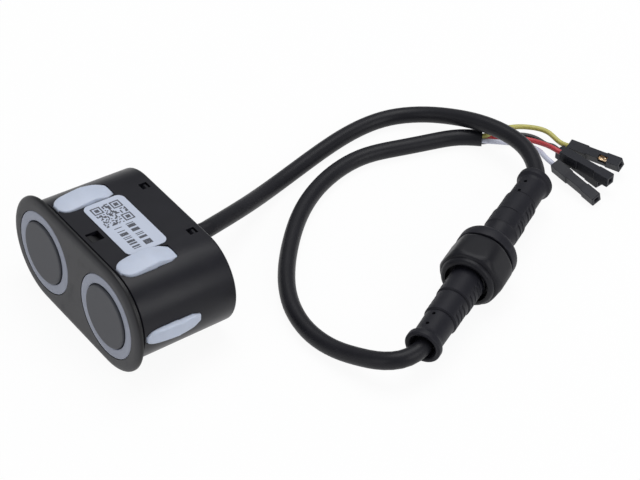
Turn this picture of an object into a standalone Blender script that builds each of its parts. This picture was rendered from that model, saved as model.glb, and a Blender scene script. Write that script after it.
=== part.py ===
"""Ultrasonic distance sensor: a two-transducer head, its cable, a screw-coupled connector and a lead.

The head is drawn in its own frame: X along its long side, Y from the front face to the back, Z up.
It stands nose-up on its front rim and its two lower grip pads, so one empty tilts the whole head.
The connector is drawn along its own Z, which runs from the socket half's cable to the plug half's.
Cables and wires are drawn on the bench: the front face's centre is over its origin, the floor is z = 0.
"""
import math

import bmesh
import bpy
import numpy as np
from mathutils import Matrix, Vector

MM = 0.001

# --- clearances -----------------------------------------------------------------------------------
FIT = 0.15 * MM            # between pieces that fit into each other
SEAT_GAP = 0.30 * MM       # between a cord's end and what it meets
SKIN_GAP = 0.04 * MM       # under the label

# --- transducers ----------------------------------------------------------------------------------
TRANSDUCER_PITCH = 24.5 * MM
CAN_RADIUS = 7.2 * MM
CAN_LENGTH = 9.0 * MM
CAN_WALL = 0.6 * MM
CAN_PROUD = 0.4 * MM       # the can's face stands this far in front of the bezel
RING_RADIUS = 9.6 * MM
RING_DEPTH = 1.5 * MM
SLEEVE_WALL = 0.85 * MM
SLEEVE_LENGTH = 10.5 * MM
PIEZO_RADIUS = 4.2 * MM
PIEZO_THICKNESS = 0.7 * MM

# --- bezel and housing ----------------------------------------------------------------------------
FLANGE_RADIUS = 12.7 * MM
FLANGE_DEPTH = 1.25 * MM
FLANGE_ROUND_DEPTH = 0.95 * MM
FLANGE_ROUND_WIDTH = 2.0 * MM
COLLAR_DEPTH = 1.2 * MM
BODY_RADIUS = 10.8 * MM
BODY_DEPTH = 26.1 * MM     # from the front face to the back face
BODY_TAPER = 0.27 * MM     # how much smaller the radius is at the back
BODY_EDGE = 0.65 * MM
WALL = 1.3 * MM
LEDGE_WIDTH = 1.1 * MM
LEDGE_THICKNESS = 0.7 * MM
BOARD_THICKNESS = 1.2 * MM
BOARD_POSITION = 18.15 * MM
COVER_THICKNESS = 1.4 * MM
POST_RADIUS = 1.2 * MM
POST_SPACING = 32.0 * MM

# --- snap tongues and their windows -----------------------------------------------------------------
FRONT_WINDOW = (3.0 * MM, 3.1 * MM)     # across, along
FRONT_WINDOW_Y = 3.6 * MM
FRONT_TONGUE_WIDTH = 2.4 * MM
REAR_WINDOW = (2.0 * MM, 2.0 * MM)
REAR_WINDOW_Y = 22.5 * MM
REAR_TONGUE_WIDTH = 1.5 * MM
REAR_WINDOW_SPACING = 18.2 * MM
TONGUE_THICKNESS = 0.9 * MM
HOOK_DEPTH = 0.35 * MM                  # how far the hook stays under the outer skin

# --- grip pads and label ----------------------------------------------------------------------------
PAD_WIDTHS = {"top": 5.4 * MM, "bottom": 5.4 * MM, "side": 4.0 * MM}
PAD_START = 3.3 * MM       # clear of a 2 mm panel behind the flange
PAD_END = 16.5 * MM
PAD_CREST = 1.15 * MM      # how far the pads stand out of the body
PAD_CREST_END = 11.0 * MM
PAD_NOSE_LENGTH = 3.4 * MM # the rounded front, seen from outside
PAD_NOSE_BLUNT = 0.4       # the front edge's share of the pad's width
PAD_NOSE_DROP = 0.9 * MM   # how much lower the pad is at its front
PAD_TAIL_START = 14.6 * MM
PAD_TAIL_NARROWING = 1.6 * MM
PAD_TAIL_DROPS = {"top": 1.5 * MM, "bottom": 1.5 * MM, "side": 0.95 * MM}
PAD_STEP = 0.15 * MM       # how much narrower and lower the pad is behind its crest
PAD_CHAMFER = 0.35 * MM
PAD_FOOT_EDGE = 0.4 * MM    # how far the foot reaches beyond the pad on each side
LABEL_SIZE = (18.7 * MM, 10.0 * MM)
LABEL_CENTRE = (0.0, 12.6 * MM)
LABEL_THICKNESS = 0.12 * MM
LABEL_CORNER = 1.6 * MM

# --- what stands on the board: across, up, width, height, depth in mm, and the face (1 back, -1 front)
BOARD_BLOCKS = {
    "controller_chip": (-4.0, 1.0, 5.0, 5.0, 1.0, 1),
    "amplifier_chip": (6.5, -1.0, 4.9, 3.9, 1.5, 1),
    "pulse_transformer": (-5.5, 1.5, 6.0, 6.0, 6.0, -1),
}
CAPACITOR_RADIUS = 2.5 * MM
CAPACITOR_LENGTH = 6.0 * MM
CAPACITOR_PLACE = (4.5 * MM, 1.5 * MM)

# --- cables and wires -------------------------------------------------------------------------------
CABLE_RADIUS = 1.95 * MM
WIRE_RADIUS = 0.6 * MM
CORD_STEP = 2.0            # diameters between two points of a cable
WIRE_STEP = 2.0            # diameters between two points of a wire
STRAIGHT_OUT = 5.5 * MM
GROMMET_NECK = 2.6 * MM
GROMMET_FLANGE = 3.5 * MM
GROMMET_LENGTH = 1.5 * MM
WIRE_LEAD = 1.5 * MM       # a wire's straight start out of the jacket
CRIMP_LEAD = 3.0 * MM      # where a wire lines up with its crimp housing

# --- connector: stations along its axis, from the socket half's collar ------------------------------
CONNECTOR_ORIGIN = (28.44 * MM, 103.99 * MM)
CONNECTOR_HEADING = math.radians(-64.18)
NUT_RADIUS = 7.35 * MM     # to the rounded corners between the flats
NUT_FLAT = 6.85 * MM       # from the axis to a flat
NUT_START = 26.8 * MM
NUT_LENGTH = 10.4 * MM
NUT_RIM_RADIUS = 6.2 * MM
NUT_RIM_LENGTH = 1.6 * MM
NUT_RECESS_RADIUS = 5.3 * MM
NUT_LIP_LENGTH = 0.9 * MM
NUT_FRONT_CHAMFER = 0.6 * MM
NUT_REAR_CHAMFER = 2.0 * MM
THREAD_RADIUS = 5.5 * MM
THREAD_LENGTH = 5.05 * MM
SOCKET_END = -1.0 * MM     # the socket half's cable end
PLUG_END = 59.1 * MM       # the plug half's cable end
DOME_START = 21.0 * MM
DOME_END = 26.4 * MM
DOME_RADIUS = 6.9 * MM
DOME_RIM = 1.2 * MM
CAVITY_DEPTH = 2.2 * MM    # the insert's head in the dome
COLLAR_RADIUS = 4.1 * MM
BOOT_COLLAR_LENGTH = 1.9 * MM
MOUTH_RADIUS = 3.0 * MM
MOUTH_DEPTH = 2.6 * MM
BOOT_ROUNDING = 0.35 * MM
NECK_RADIUS = 3.4 * MM
STEP_RADIUS = 3.8 * MM
GRIP_RADIUS = 4.05 * MM
NECK_END = 8.2 * MM
NECK_GROOVE = (0.6 * MM, 0.3 * MM)      # width, depth
STEP_END = 15.0 * MM
NOTCH_PITCH = 1.5 * MM
NOTCH_WIDTH = 0.7 * MM
NOTCH_FLAT = 3.45 * MM     # from the axis to the bottom of a grip notch
PEG_HOLES = (4.1 * MM, 6.7 * MM)
PEG_HOLE_RADIUS = 0.45 * MM
PEG_HOLE_DEPTH = 1.2 * MM
CORE_RADIUS = 2.85 * MM
CORE_LENGTH = 11.5 * MM
SHROUD_RADIUS = 4.15 * MM
SHROUD_WALL = 1.1 * MM
SHOULDER_RADIUS = 5.3 * MM
SHOULDER_LENGTH = 1.6 * MM
SHROUD_BASE = 0.9 * MM      # how deep the shroud is let into the shoulder
SEAL_RADIUS = 0.38 * MM
CONTACT_CIRCLE = 1.55 * MM
CONTACT_RADIUS = 0.75 * MM
PIN_RADIUS = 0.4 * MM
PIN_LENGTH = 9.5 * MM
PIN_SEAT = 3.0 * MM
PLUG_FLOOR = 1.2 * MM      # how far the insert's floor stands in front of the shoulder
CONTACT_SEAT = 4.0 * MM    # solid insert behind the contacts
NOSE_FLOOR = 1.0 * MM      # the threaded nose's solid foot, and how far its core stays back

# --- crimp housings ---------------------------------------------------------------------------------
CRIMP_LENGTH = 14.0 * MM
CRIMP_SIDE = 2.54 * MM
CRIMP_BORE = 1.9 * MM
CRIMP_WINDOW = (2.8 * MM, 1.3 * MM)     # along, across
CRIMP_WINDOW_START = 8.2 * MM
CRIMP_CHAMFER = 0.25 * MM
TERMINAL_SIDE = 1.55 * MM
TERMINAL_BORE = 0.9 * MM
TERMINAL_BORE_DEPTH = 5.0 * MM
TERMINAL_LENGTH = 6.6 * MM              # its box
TERMINAL_NECK = 1.4 * MM                # between the box and the crimped barrel
TERMINAL_INSET = 0.8 * MM               # from the housing's open end
TERMINAL_BARREL_START = 1.2 * MM        # from the housing's wire end

# --- routes on the bench, in millimetres ------------------------------------------------------------
SENSOR_CABLE_ROUTE = [
    (-5.3, 47.4, 6.0), (-9.5, 57.0, 3.0), (-12.6, 67.6, 2.0), (-14.8, 78.2, 1.97), (-15.8, 88.3, 1.97),
    (-14.5, 96.3, 2.1), (-10.4, 102.1, 2.9), (-3.7, 106.2, 4.6), (3.7, 108.9, 6.2), (12.6, 110.8, 6.9),
    (18.6, 110.3, 7.1), (23.4, 108.4, 7.0), (26.6, 106.3, 6.9),
]
LEAD_CABLE_ROUTE = [
    (54.6, 48.5, 6.8), (54.1, 45.5, 6.6), (52.0, 42.9, 6.0), (46.8, 40.4, 4.4), (40.5, 38.5, 2.9),
    (32.3, 37.7, 2.1), (22.2, 40.1, 1.97), (13.9, 45.2, 1.97), (7.3, 51.1, 1.97), (-1.2, 61.4, 1.97),
    (-6.4, 73.8, 1.97), (-6.9, 83.0, 1.97), (-4.2, 91.8, 1.97), (-1.8, 98.5, 1.97), (1.1, 105.1, 1.97),
    (4.4, 109.0, 1.97),
]
WIRE_ROUTES = {
    "yellow": [(4.6, 114.2, 2.0), (6.0, 118.1, 1.4), (8.6, 121.4, 1.2), (12.3, 122.9, 1.4)],
    "black": [(5.6, 114.6, 0.9), (7.7, 118.2, 0.8), (11.4, 120.5, 0.9), (14.8, 121.2, 1.1)],
    "red": [(8.0, 113.6, 2.3), (11.1, 117.4, 2.4), (15.3, 118.9, 3.0)],
    "white": [(7.6, 112.8, 0.8), (10.6, 116.1, 0.8), (14.2, 117.3, 1.2)],
}
# a wire's start in the jacket: how many half pitches right of the axis and above it
WIRE_STARTS = {"yellow": (-1, 1), "black": (-1, -1), "red": (1, 1), "white": (1, -1)}
WIRE_HALF_PITCH = 0.75 * MM
# a crimp housing's back end on the bench in mm, then its yaw, pitch and roll in degrees
CRIMP_PLACES = {
    "yellow": ((18.8, 123.8, 1.75), (14.9, -6.0, 20.0)),
    "black": ((18.3, 120.9, 1.31), (1.5, 0.0, 0.0)),
    "red": ((21.7, 118.6, 4.12), (10.6, 1.0, 0.0)),
    "white": ((22.7, 115.6, 2.7), (2.1, 4.7, 16.0)),
}

# --- finishes: colour, metallic, roughness ----------------------------------------------------------
BLACK_PLASTIC = ((0.030, 0.031, 0.035), 0.0, 0.42)
CHARCOAL_PLASTIC = ((0.045, 0.046, 0.048), 0.0, 0.55)
WHITE_SILICONE = ((0.62, 0.66, 0.76), 0.0, 0.5)
BLACK_RUBBER = ((0.022, 0.022, 0.025), 0.0, 0.6)
CAN_GREY = ((0.075, 0.072, 0.078), 0.0, 0.5)
LABEL_PAPER = ((0.72, 0.75, 0.82), 0.0, 0.45)
BOARD_GREEN = ((0.02, 0.16, 0.06), 0.0, 0.5)
CHIP_BLACK = ((0.02, 0.02, 0.02), 0.0, 0.5)
CERAMIC = ((0.55, 0.50, 0.40), 0.0, 0.5)
COPPER_TAPE = ((0.75, 0.55, 0.12), 0.0, 0.5)
FELT = ((0.30, 0.29, 0.27), 0.0, 0.9)
ALUMINIUM = ((0.60, 0.61, 0.63), 1.0, 0.4)
GOLD = ((0.80, 0.58, 0.25), 1.0, 0.3)
WIRE_COLOURS = {
    "yellow": ((0.55, 0.52, 0.12), 0.0, 0.45),
    "black": ((0.02, 0.02, 0.02), 0.0, 0.45),
    "red": ((0.55, 0.06, 0.06), 0.0, 0.45),
    "white": ((0.62, 0.66, 0.72), 0.0, 0.45),
}

ROUND = 36                 # sides of a large round piece
BOOT_ROUND = 28
NUT_ROUND = 36             # a multiple of the six flats
SMALL_ROUND = 24
TINY_ROUND = 12
END_STEPS = 18             # steps of a racetrack's half circle

HALF_PITCH = TRANSDUCER_PITCH / 2
PAD_RADIUS = BODY_RADIUS + PAD_CREST
BODY_START = FLANGE_DEPTH + COLLAR_DEPTH + FIT
SHOULDER_START = NUT_START + NUT_LENGTH - NUT_RIM_LENGTH - NUT_LIP_LENGTH - 2 * FIT - SHOULDER_LENGTH
HEAD_TILT = math.atan2(FLANGE_RADIUS - PAD_RADIUS, PAD_CREST_END - FLANGE_DEPTH)
HEAD_HEIGHT = FLANGE_DEPTH * math.sin(HEAD_TILT) + FLANGE_RADIUS * math.cos(HEAD_TILT)


# --- meshes -----------------------------------------------------------------------------------------
def material(name, finish):
    """A plain Principled material for one piece."""
    colour, metallic, roughness = finish
    made = bpy.data.materials.new(name)
    made.use_nodes = True
    shader = made.node_tree.nodes["Principled BSDF"]
    shader.inputs["Base Color"].default_value = (*colour, 1.0)
    shader.inputs["Metallic"].default_value = metallic
    shader.inputs["Roughness"].default_value = roughness
    made.diffuse_color = (*colour, 1.0)
    return made


def skin(name, rings, closed=False):
    """Joins rings of equally many points into a solid, capped at both ends or closed on itself.

    A ring of one point is a tip.
    """
    mesh = bpy.data.meshes.new(name)
    shape = bmesh.new()
    rows = [[shape.verts.new(point) for point in ring] for ring in rings]
    pairs = list(zip(rows, rows[1:] + rows[:1])) if closed else list(zip(rows, rows[1:]))
    for near, far in pairs:
        count = max(len(near), len(far))
        for index in range(count):
            after = (index + 1) % count
            corners = [near[index % len(near)], near[after % len(near)], far[after % len(far)], far[index % len(far)]]
            unique = list(dict.fromkeys(corners))
            if len(unique) > 2:
                shape.faces.new(unique)
    if not closed:
        for row in (rows[0], rows[-1]):
            if len(row) > 2:
                shape.faces.new(row)
    bmesh.ops.recalc_face_normals(shape, faces=shape.faces)
    shape.to_mesh(mesh)
    shape.free()
    made = bpy.data.objects.new(name, mesh)
    bpy.context.scene.collection.objects.link(made)
    return made


def circle(radius, station, sides, centre=(0.0, 0.0)):
    """A ring round the Z axis, or one point where the radius is nought."""
    if radius == 0.0:
        return [Vector((centre[0], centre[1], station))]
    angles = [2 * math.pi * index / sides for index in range(sides)]
    return [Vector((centre[0] + radius * math.cos(a), centre[1] + radius * math.sin(a), station)) for a in angles]


def turned(name, profile, sides=ROUND, closed=False):
    """A solid of revolution round Z from (radius, station) pairs."""
    return skin(name, [circle(radius, station, sides) for radius, station in profile], closed)


def rod(name, radius, start, end, sides=SMALL_ROUND, centre=(0.0, 0.0)):
    """A plain round bar along Z."""
    return skin(name, [circle(radius, start, sides, centre), circle(radius, end, sides, centre)])


def racetrack(half_straight, radius, depth):
    """A ring of two half circles and two straights, at one depth of the head."""
    ring = []
    for side, first in ((1, -math.pi / 2), (-1, math.pi / 2)):
        for index in range(END_STEPS + 1):
            angle = first + math.pi * index / END_STEPS
            ring.append(Vector((side * half_straight + radius * math.cos(angle), depth, radius * math.sin(angle))))
    return ring


def racetrack_solid(name, sections):
    """A racetrack loft from (radius, depth) pairs."""
    return skin(name, [racetrack(HALF_PITCH, radius, depth) for radius, depth in sections])


def box(name, low, high):
    """A box from its two corners."""
    x0, y0, z0 = low
    x1, y1, z1 = high
    rings = [[Vector((x, y, z)) for x, y in ((x0, y0), (x1, y0), (x1, y1), (x0, y1))] for z in (z0, z1)]
    return skin(name, rings)


def prism(name, outline, low, high):
    """An outline of (y, z) points run along X from low to high."""
    return skin(name, [[Vector((x, y, z)) for y, z in outline] for x in (low, high)])


def arc(centre, radius, start, end, steps):
    """Points of an arc as (first, second) pairs, angles in degrees."""
    points = []
    for index in range(steps + 1):
        angle = math.radians(start + (end - start) * index / steps)
        points.append((centre[0] + radius[0] * math.cos(angle), centre[1] + radius[1] * math.sin(angle)))
    return points


def transform(piece, matrix):
    """Moves a piece's mesh in its own frame."""
    piece.data.transform(matrix)
    if matrix.determinant() < 0:
        piece.data.flip_normals()
    return piece


def combine(base, tools, operation):
    """Cuts tools from the base, or joins them to it, and removes the tools."""
    for tool in tools:
        modifier = base.modifiers.new(operation.lower(), "BOOLEAN")
        modifier.operation = operation
        modifier.solver = "EXACT"
        modifier.object = tool
    bpy.context.view_layer.update()
    evaluated = base.evaluated_get(bpy.context.evaluated_depsgraph_get())
    mesh = bpy.data.meshes.new_from_object(evaluated)
    mesh.name = base.name
    base.modifiers.clear()
    base.data = mesh
    for tool in tools:
        bpy.data.objects.remove(tool)
    return base


def cut(base, tools):
    """The base without the tools."""
    return combine(base, tools, "DIFFERENCE")


def fuse(base, tools):
    """The base with the tools."""
    return combine(base, tools, "UNION")


def frame(name, matrix):
    """An empty that carries one sub-assembly."""
    made = bpy.data.objects.new(name, None)
    made.matrix_world = matrix
    bpy.context.scene.collection.objects.link(made)
    return made


def finish(piece, look, parent=None):
    """Names a piece's mesh after it, gives it a material, smooths it and hangs it in its frame."""
    piece.data.name = piece.name
    piece.data.materials.clear()
    piece.data.materials.append(material(piece.name, look))
    if isinstance(piece.data, bpy.types.Mesh):
        piece.data.shade_smooth()
        piece.data.set_sharp_from_angle(angle=math.radians(32))
    piece.parent = parent
    return piece


# --- sizes that follow from others ------------------------------------------------------------------
def body_radius(depth):
    """The housing's outer radius at a depth."""
    return BODY_RADIUS - BODY_TAPER * (depth - BODY_START) / (BODY_DEPTH - BODY_START)


def inner_radius(depth):
    """The housing's inner radius at a depth."""
    return body_radius(depth) - WALL


def boot_stations(end, direction):
    """Turns a distance from a boot's cable end into a station on the connector."""
    return lambda distance: end + direction * distance


# --- the head ---------------------------------------------------------------------------------------
def to_depth(piece, side):
    """Turns a piece drawn along Z so that it runs into the head, on one transducer's axis."""
    place = Matrix.Translation((side * HALF_PITCH, 0.0, 0.0)) @ Matrix.Rotation(math.radians(-90), 4, "X")
    return transform(piece, place)


def snap_tongue(name, across, width, root, tip, window, up):
    """A flexible tongue from root to tip under the wall, with a hook that stands in its window.

    Args:
        across: the tongue's middle along X.
        root: depth where it grows out of its carrier.
        tip: depth of its free end.
        window: depths where its window starts and ends.
        up: 1 on the head's top, -1 underneath.
    """
    outward = inner_radius((root + tip) / 2) - FIT
    hook_top = body_radius(window[0]) - HOOK_DEPTH
    toward_tip = 1 if tip > root else -1
    steep, shallow = (window[0], window[1]) if toward_tip > 0 else (window[1], window[0])
    steep += toward_tip * 2 * FIT
    shallow -= toward_tip * 2 * FIT
    outline = [(root, outward - TONGUE_THICKNESS), (root, outward), (steep, outward), (steep, hook_top),
               (steep + (shallow - steep) * 0.35, hook_top), (shallow, outward), (tip, outward),
               (tip, outward - TONGUE_THICKNESS)]
    tongue = prism(name, outline, across - width / 2, across + width / 2)
    return transform(tongue, Matrix.Diagonal((1.0, 1.0, up, 1.0)))


def make_bezel(parent):
    """The front plate: rounded flange, collar, two stepped bores and two snap tongues."""
    rim = arc((FLANGE_RADIUS - FLANGE_ROUND_WIDTH, FLANGE_ROUND_DEPTH), (FLANGE_ROUND_WIDTH, FLANGE_ROUND_DEPTH),
              -90, 0, 5)
    sections = rim + [(FLANGE_RADIUS, FLANGE_DEPTH), (BODY_RADIUS, FLANGE_DEPTH),
                      (BODY_RADIUS, FLANGE_DEPTH + COLLAR_DEPTH)]
    bezel = racetrack_solid("front_bezel", sections)
    back = FLANGE_DEPTH + COLLAR_DEPTH
    tip = FRONT_WINDOW_Y + FRONT_WINDOW[1] + 2 * FIT
    window = (FRONT_WINDOW_Y, FRONT_WINDOW_Y + FRONT_WINDOW[1])
    tongues = [snap_tongue("tongue", 0.0, FRONT_TONGUE_WIDTH, back - 3 * FIT, tip, window, up) for up in (1, -1)]
    fuse(bezel, tongues)
    seat = RING_DEPTH + FIT
    sleeve = CAN_RADIUS + FIT + SLEEVE_WALL
    bores = []
    for side in (1, -1):
        bores.append(to_depth(turned("seat", [(0.0, -MM), (RING_RADIUS + FIT, -MM), (RING_RADIUS + FIT, seat),
                                              (sleeve + FIT, seat), (sleeve + FIT, back + MM), (0.0, back + MM)]), side))
    cut(bezel, bores)
    return finish(bezel, CHARCOAL_PLASTIC, parent)


def pad_angles(side):
    """Where one transducer's three pads stand round its axis, in radians from +X, by place."""
    return {"top": math.pi / 2, "bottom": -math.pi / 2, "side": 0.0 if side > 0 else math.pi}


def pad_place(side, angle):
    """Takes a pad drawn outward along Z to its place round a transducer's axis."""
    return Matrix.Translation((side * HALF_PITCH, 0.0, 0.0)) @ Matrix.Rotation(math.pi / 2 - angle, 4, "Y")


def pad_sections(where):
    """A pad's depth, half width and height at each of its cross-sections."""
    half = PAD_WIDTHS[where] / 2
    rise = PAD_NOSE_DROP / (PAD_CREST_END - PAD_START)
    sections = []
    for share in (0.0, 0.06, 0.2, 0.5, 1.0):
        depth = PAD_START + share * PAD_NOSE_LENGTH
        width = half * max(PAD_NOSE_BLUNT, math.sqrt(1.0 - (1.0 - share) ** 3))
        sections.append((depth, width, PAD_RADIUS - rise * (PAD_CREST_END - depth)))
    sections.append((PAD_CREST_END, half, PAD_RADIUS))
    sections.append((PAD_CREST_END + PAD_STEP, half - PAD_STEP, PAD_RADIUS - PAD_STEP))
    fall = (PAD_TAIL_DROPS[where] - PAD_STEP) / (PAD_END - PAD_CREST_END)
    for depth, width in ((PAD_TAIL_START, half - PAD_STEP), (PAD_END, half - PAD_TAIL_NARROWING / 2)):
        sections.append((depth, width, PAD_RADIUS - PAD_STEP - fall * (depth - PAD_CREST_END)))
    return sections


def make_housing(parent):
    """The sleeve behind the bezel: tapered walls, a board ledge, pad slots and snap windows."""
    back_radius = body_radius(BODY_DEPTH)
    edge = arc((back_radius - BODY_EDGE, BODY_DEPTH - BODY_EDGE), (BODY_EDGE, BODY_EDGE), 0, 90, 3)
    sections = [(BODY_RADIUS - FIT, BODY_START), (BODY_RADIUS, BODY_START + FIT)] + edge
    housing = racetrack_solid("housing", sections)
    ledge = BOARD_POSITION - FIT - LEDGE_THICKNESS
    board_side = BOARD_POSITION - FIT
    hollow = [(inner_radius(BODY_START), BODY_START - MM), (inner_radius(ledge), ledge),
              (inner_radius(ledge) - LEDGE_WIDTH, ledge), (inner_radius(ledge) - LEDGE_WIDTH, board_side),
              (inner_radius(board_side), board_side), (inner_radius(BODY_DEPTH), BODY_DEPTH + MM)]
    tools = [racetrack_solid("hollow", hollow)]
    for side in (1, -1):
        for where, angle in pad_angles(side).items():
            sections = []
            for depth, half, _ in pad_sections(where):
                reach = depth + (FIT if depth == PAD_END else -FIT if depth == PAD_START else 0.0)
                sections.append([Vector((x, reach, z)) for x, z in (
                    (-half - FIT, inner_radius(PAD_END) - WALL), (half + FIT, inner_radius(PAD_END) - WALL),
                    (half + FIT, BODY_RADIUS + WALL), (-half - FIT, BODY_RADIUS + WALL))])
            tools.append(transform(skin("slot", sections), pad_place(side, angle)))
    windows = [(0.0, FRONT_WINDOW, FRONT_WINDOW_Y)]
    windows += [(side * REAR_WINDOW_SPACING / 2, REAR_WINDOW, REAR_WINDOW_Y) for side in (1, -1)]
    for across, (width, length), start in windows:
        for up in (1, -1):
            low, high = sorted((up * (inner_radius(start) - WALL), up * (BODY_RADIUS + WALL)))
            tools.append(box("window", (across - width / 2, start, low), (across + width / 2, start + length, high)))
    cut(housing, tools)
    return finish(housing, BLACK_PLASTIC, parent)


def make_rear_cover(parent):
    """The back plate: four snap tongues, two posts that hold the board and the grommet's hole."""
    front = BODY_DEPTH - COVER_THICKNESS
    rim = inner_radius(BODY_DEPTH) - FIT
    cover = racetrack_solid("rear_cover", [(rim, front), (rim, BODY_DEPTH)])
    tools = []
    window = (REAR_WINDOW_Y, REAR_WINDOW_Y + REAR_WINDOW[1])
    tip = REAR_WINDOW_Y - 2 * FIT
    for side in (1, -1):
        for up in (1, -1):
            tools.append(snap_tongue("tongue", side * REAR_WINDOW_SPACING / 2, REAR_TONGUE_WIDTH, front + 3 * FIT,
                                     tip, window, up))
        post = rod("post", POST_RADIUS, BOARD_POSITION + BOARD_THICKNESS + FIT, front + 3 * FIT)
        place = Matrix.Translation((side * POST_SPACING / 2, 0.0, 0.0)) @ Matrix.Rotation(math.radians(-90), 4, "X")
        tools.append(transform(post, place))
    fuse(cover, tools)
    hole = transform(rod("hole", GROMMET_NECK + FIT, 0.0, BODY_DEPTH + MM), Matrix.Rotation(math.radians(-90), 4, "X"))
    cut(cover, [hole])
    return finish(cover, BLACK_PLASTIC, parent)


def make_grommet(parent):
    """The rubber grommet that the sensor cable leaves through."""
    front = BODY_DEPTH - COVER_THICKNESS
    out = BODY_DEPTH + FIT
    profile = [(0.0, front - 5 * FIT), (GROMMET_FLANGE, front - 5 * FIT), (GROMMET_FLANGE, front - FIT),
               (GROMMET_NECK, front - FIT), (GROMMET_NECK, out), (GROMMET_FLANGE, out),
               (GROMMET_FLANGE, out + GROMMET_LENGTH * 0.6), (GROMMET_NECK, out + GROMMET_LENGTH),
               (0.0, out + GROMMET_LENGTH)]
    grommet = transform(turned("cable_grommet", profile, SMALL_ROUND), Matrix.Rotation(math.radians(-90), 4, "X"))
    return finish(grommet, BLACK_RUBBER, parent)


def make_transducer(side, word, parent):
    """One transducer: its can, the silicone sleeve and ring, the piezo disc and the damping plug."""
    pieces = []
    face = -CAN_PROUD
    inside = CAN_RADIUS - CAN_WALL
    can = turned(f"transducer_can_{word}", [
        (0.0, face), (CAN_RADIUS - CAN_WALL / 2, face), (CAN_RADIUS, face + CAN_WALL / 2),
        (CAN_RADIUS, face + CAN_LENGTH), (inside, face + CAN_LENGTH), (inside, face + CAN_WALL),
        (0.0, face + CAN_WALL)])
    pieces.append(finish(to_depth(can, side), CAN_GREY, parent))
    bore = CAN_RADIUS + FIT
    sleeve = turned(f"silicone_sleeve_{word}", [
        (bore, 0.0), (RING_RADIUS, 0.0), (RING_RADIUS, RING_DEPTH), (bore + SLEEVE_WALL, RING_DEPTH),
        (bore + SLEEVE_WALL, SLEEVE_LENGTH), (bore, SLEEVE_LENGTH)], closed=True)
    pieces.append(finish(to_depth(sleeve, side), WHITE_SILICONE, parent))
    disc_start = face + CAN_WALL + FIT
    disc = rod(f"piezo_disc_{word}", PIEZO_RADIUS, disc_start, disc_start + PIEZO_THICKNESS)
    pieces.append(finish(to_depth(disc, side), CERAMIC, parent))
    plug_start = disc_start + PIEZO_THICKNESS + FIT
    plug = rod(f"damping_plug_{word}", inside - FIT, plug_start, face + CAN_LENGTH - FIT)
    pieces.append(finish(to_depth(plug, side), FELT, parent))
    return pieces


def make_pad(name, side, where, parent):
    """One silicone grip pad: a round-nosed crest through the wall and a wider foot inside it."""
    foot_half = PAD_WIDTHS[where] / 2 + PAD_FOOT_EDGE
    foot_end = PAD_END + 2 * FIT
    foot_low = CAN_RADIUS + FIT + SLEEVE_WALL + FIT
    foot_high = math.sqrt(inner_radius(foot_end) ** 2 - foot_half ** 2) - FIT
    rings = []
    for depth, half, high in pad_sections(where):
        outline = [(-half, foot_low + FIT), (half, foot_low + FIT), (half, high - PAD_CHAMFER),
                   (half - PAD_CHAMFER, high), (-half + PAD_CHAMFER, high), (-half, high - PAD_CHAMFER)]
        rings.append([Vector((x, depth, z)) for x, z in outline])
    pad = skin(name, rings)
    foot = box("foot", (-foot_half, PAD_START + FIT, foot_low), (foot_half, foot_end, foot_high))
    fuse(pad, [foot])
    transform(pad, pad_place(side, pad_angles(side)[where]))
    return finish(pad, WHITE_SILICONE, parent)


def make_label(parent):
    """The thin label with rounded corners on the head's flat top."""
    half_x = LABEL_SIZE[0] / 2 - LABEL_CORNER
    half_y = LABEL_SIZE[1] / 2 - LABEL_CORNER
    outline = []
    for quarter, (sx, sy) in enumerate(((1, 1), (-1, 1), (-1, -1), (1, -1))):
        outline += arc((LABEL_CENTRE[0] + sx * half_x, LABEL_CENTRE[1] + sy * half_y), (LABEL_CORNER, LABEL_CORNER),
                       90 * quarter, 90 * quarter + 90, 4)
    lift = (SKIN_GAP, SKIN_GAP + LABEL_THICKNESS)
    label = skin("label", [[Vector((x, y, body_radius(y) + up)) for x, y in outline] for up in lift])
    return finish(label, LABEL_PAPER, parent)


def make_board(parent):
    """The circuit board and what stands on it."""
    back = BOARD_POSITION + BOARD_THICKNESS
    rim = inner_radius(back) - 2 * FIT
    board = racetrack_solid("circuit_board", [(rim, BOARD_POSITION), (rim, back)])
    pieces = [finish(board, BOARD_GREEN, parent)]
    looks = {"controller_chip": CHIP_BLACK, "amplifier_chip": CHIP_BLACK, "pulse_transformer": COPPER_TAPE}
    for name, (across, up, width, height, depth, face) in BOARD_BLOCKS.items():
        near = back + FIT if face > 0 else BOARD_POSITION - FIT
        low, high = sorted((near, near + face * depth * MM))
        block = box(name, ((across - width / 2) * MM, low, (up - height / 2) * MM),
                    ((across + width / 2) * MM, high, (up + height / 2) * MM))
        pieces.append(finish(block, looks[name], parent))
    capacitor = rod("board_capacitor", CAPACITOR_RADIUS, BOARD_POSITION - FIT - CAPACITOR_LENGTH,
                    BOARD_POSITION - FIT, centre=CAPACITOR_PLACE)
    transform(capacitor, Matrix.Rotation(math.radians(-90), 4, "X"))
    pieces.append(finish(capacitor, ALUMINIUM, parent))
    return pieces


def make_head():
    """Everything in the head, hung in its tilted frame."""
    place = Matrix.Translation((0.0, 0.0, HEAD_HEIGHT)) @ Matrix.Rotation(-HEAD_TILT, 4, "X")
    parent = frame("head_frame", place)
    pieces = [make_bezel(parent), make_housing(parent), make_rear_cover(parent), make_grommet(parent),
              make_label(parent)]
    pieces += make_board(parent)
    for side, word in ((-1, "left"), (1, "right")):
        pieces += make_transducer(side, word, parent)
        for where in PAD_WIDTHS:
            pieces.append(make_pad(f"grip_pad_{where}_{word}", side, where, parent))
    return parent, pieces


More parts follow.
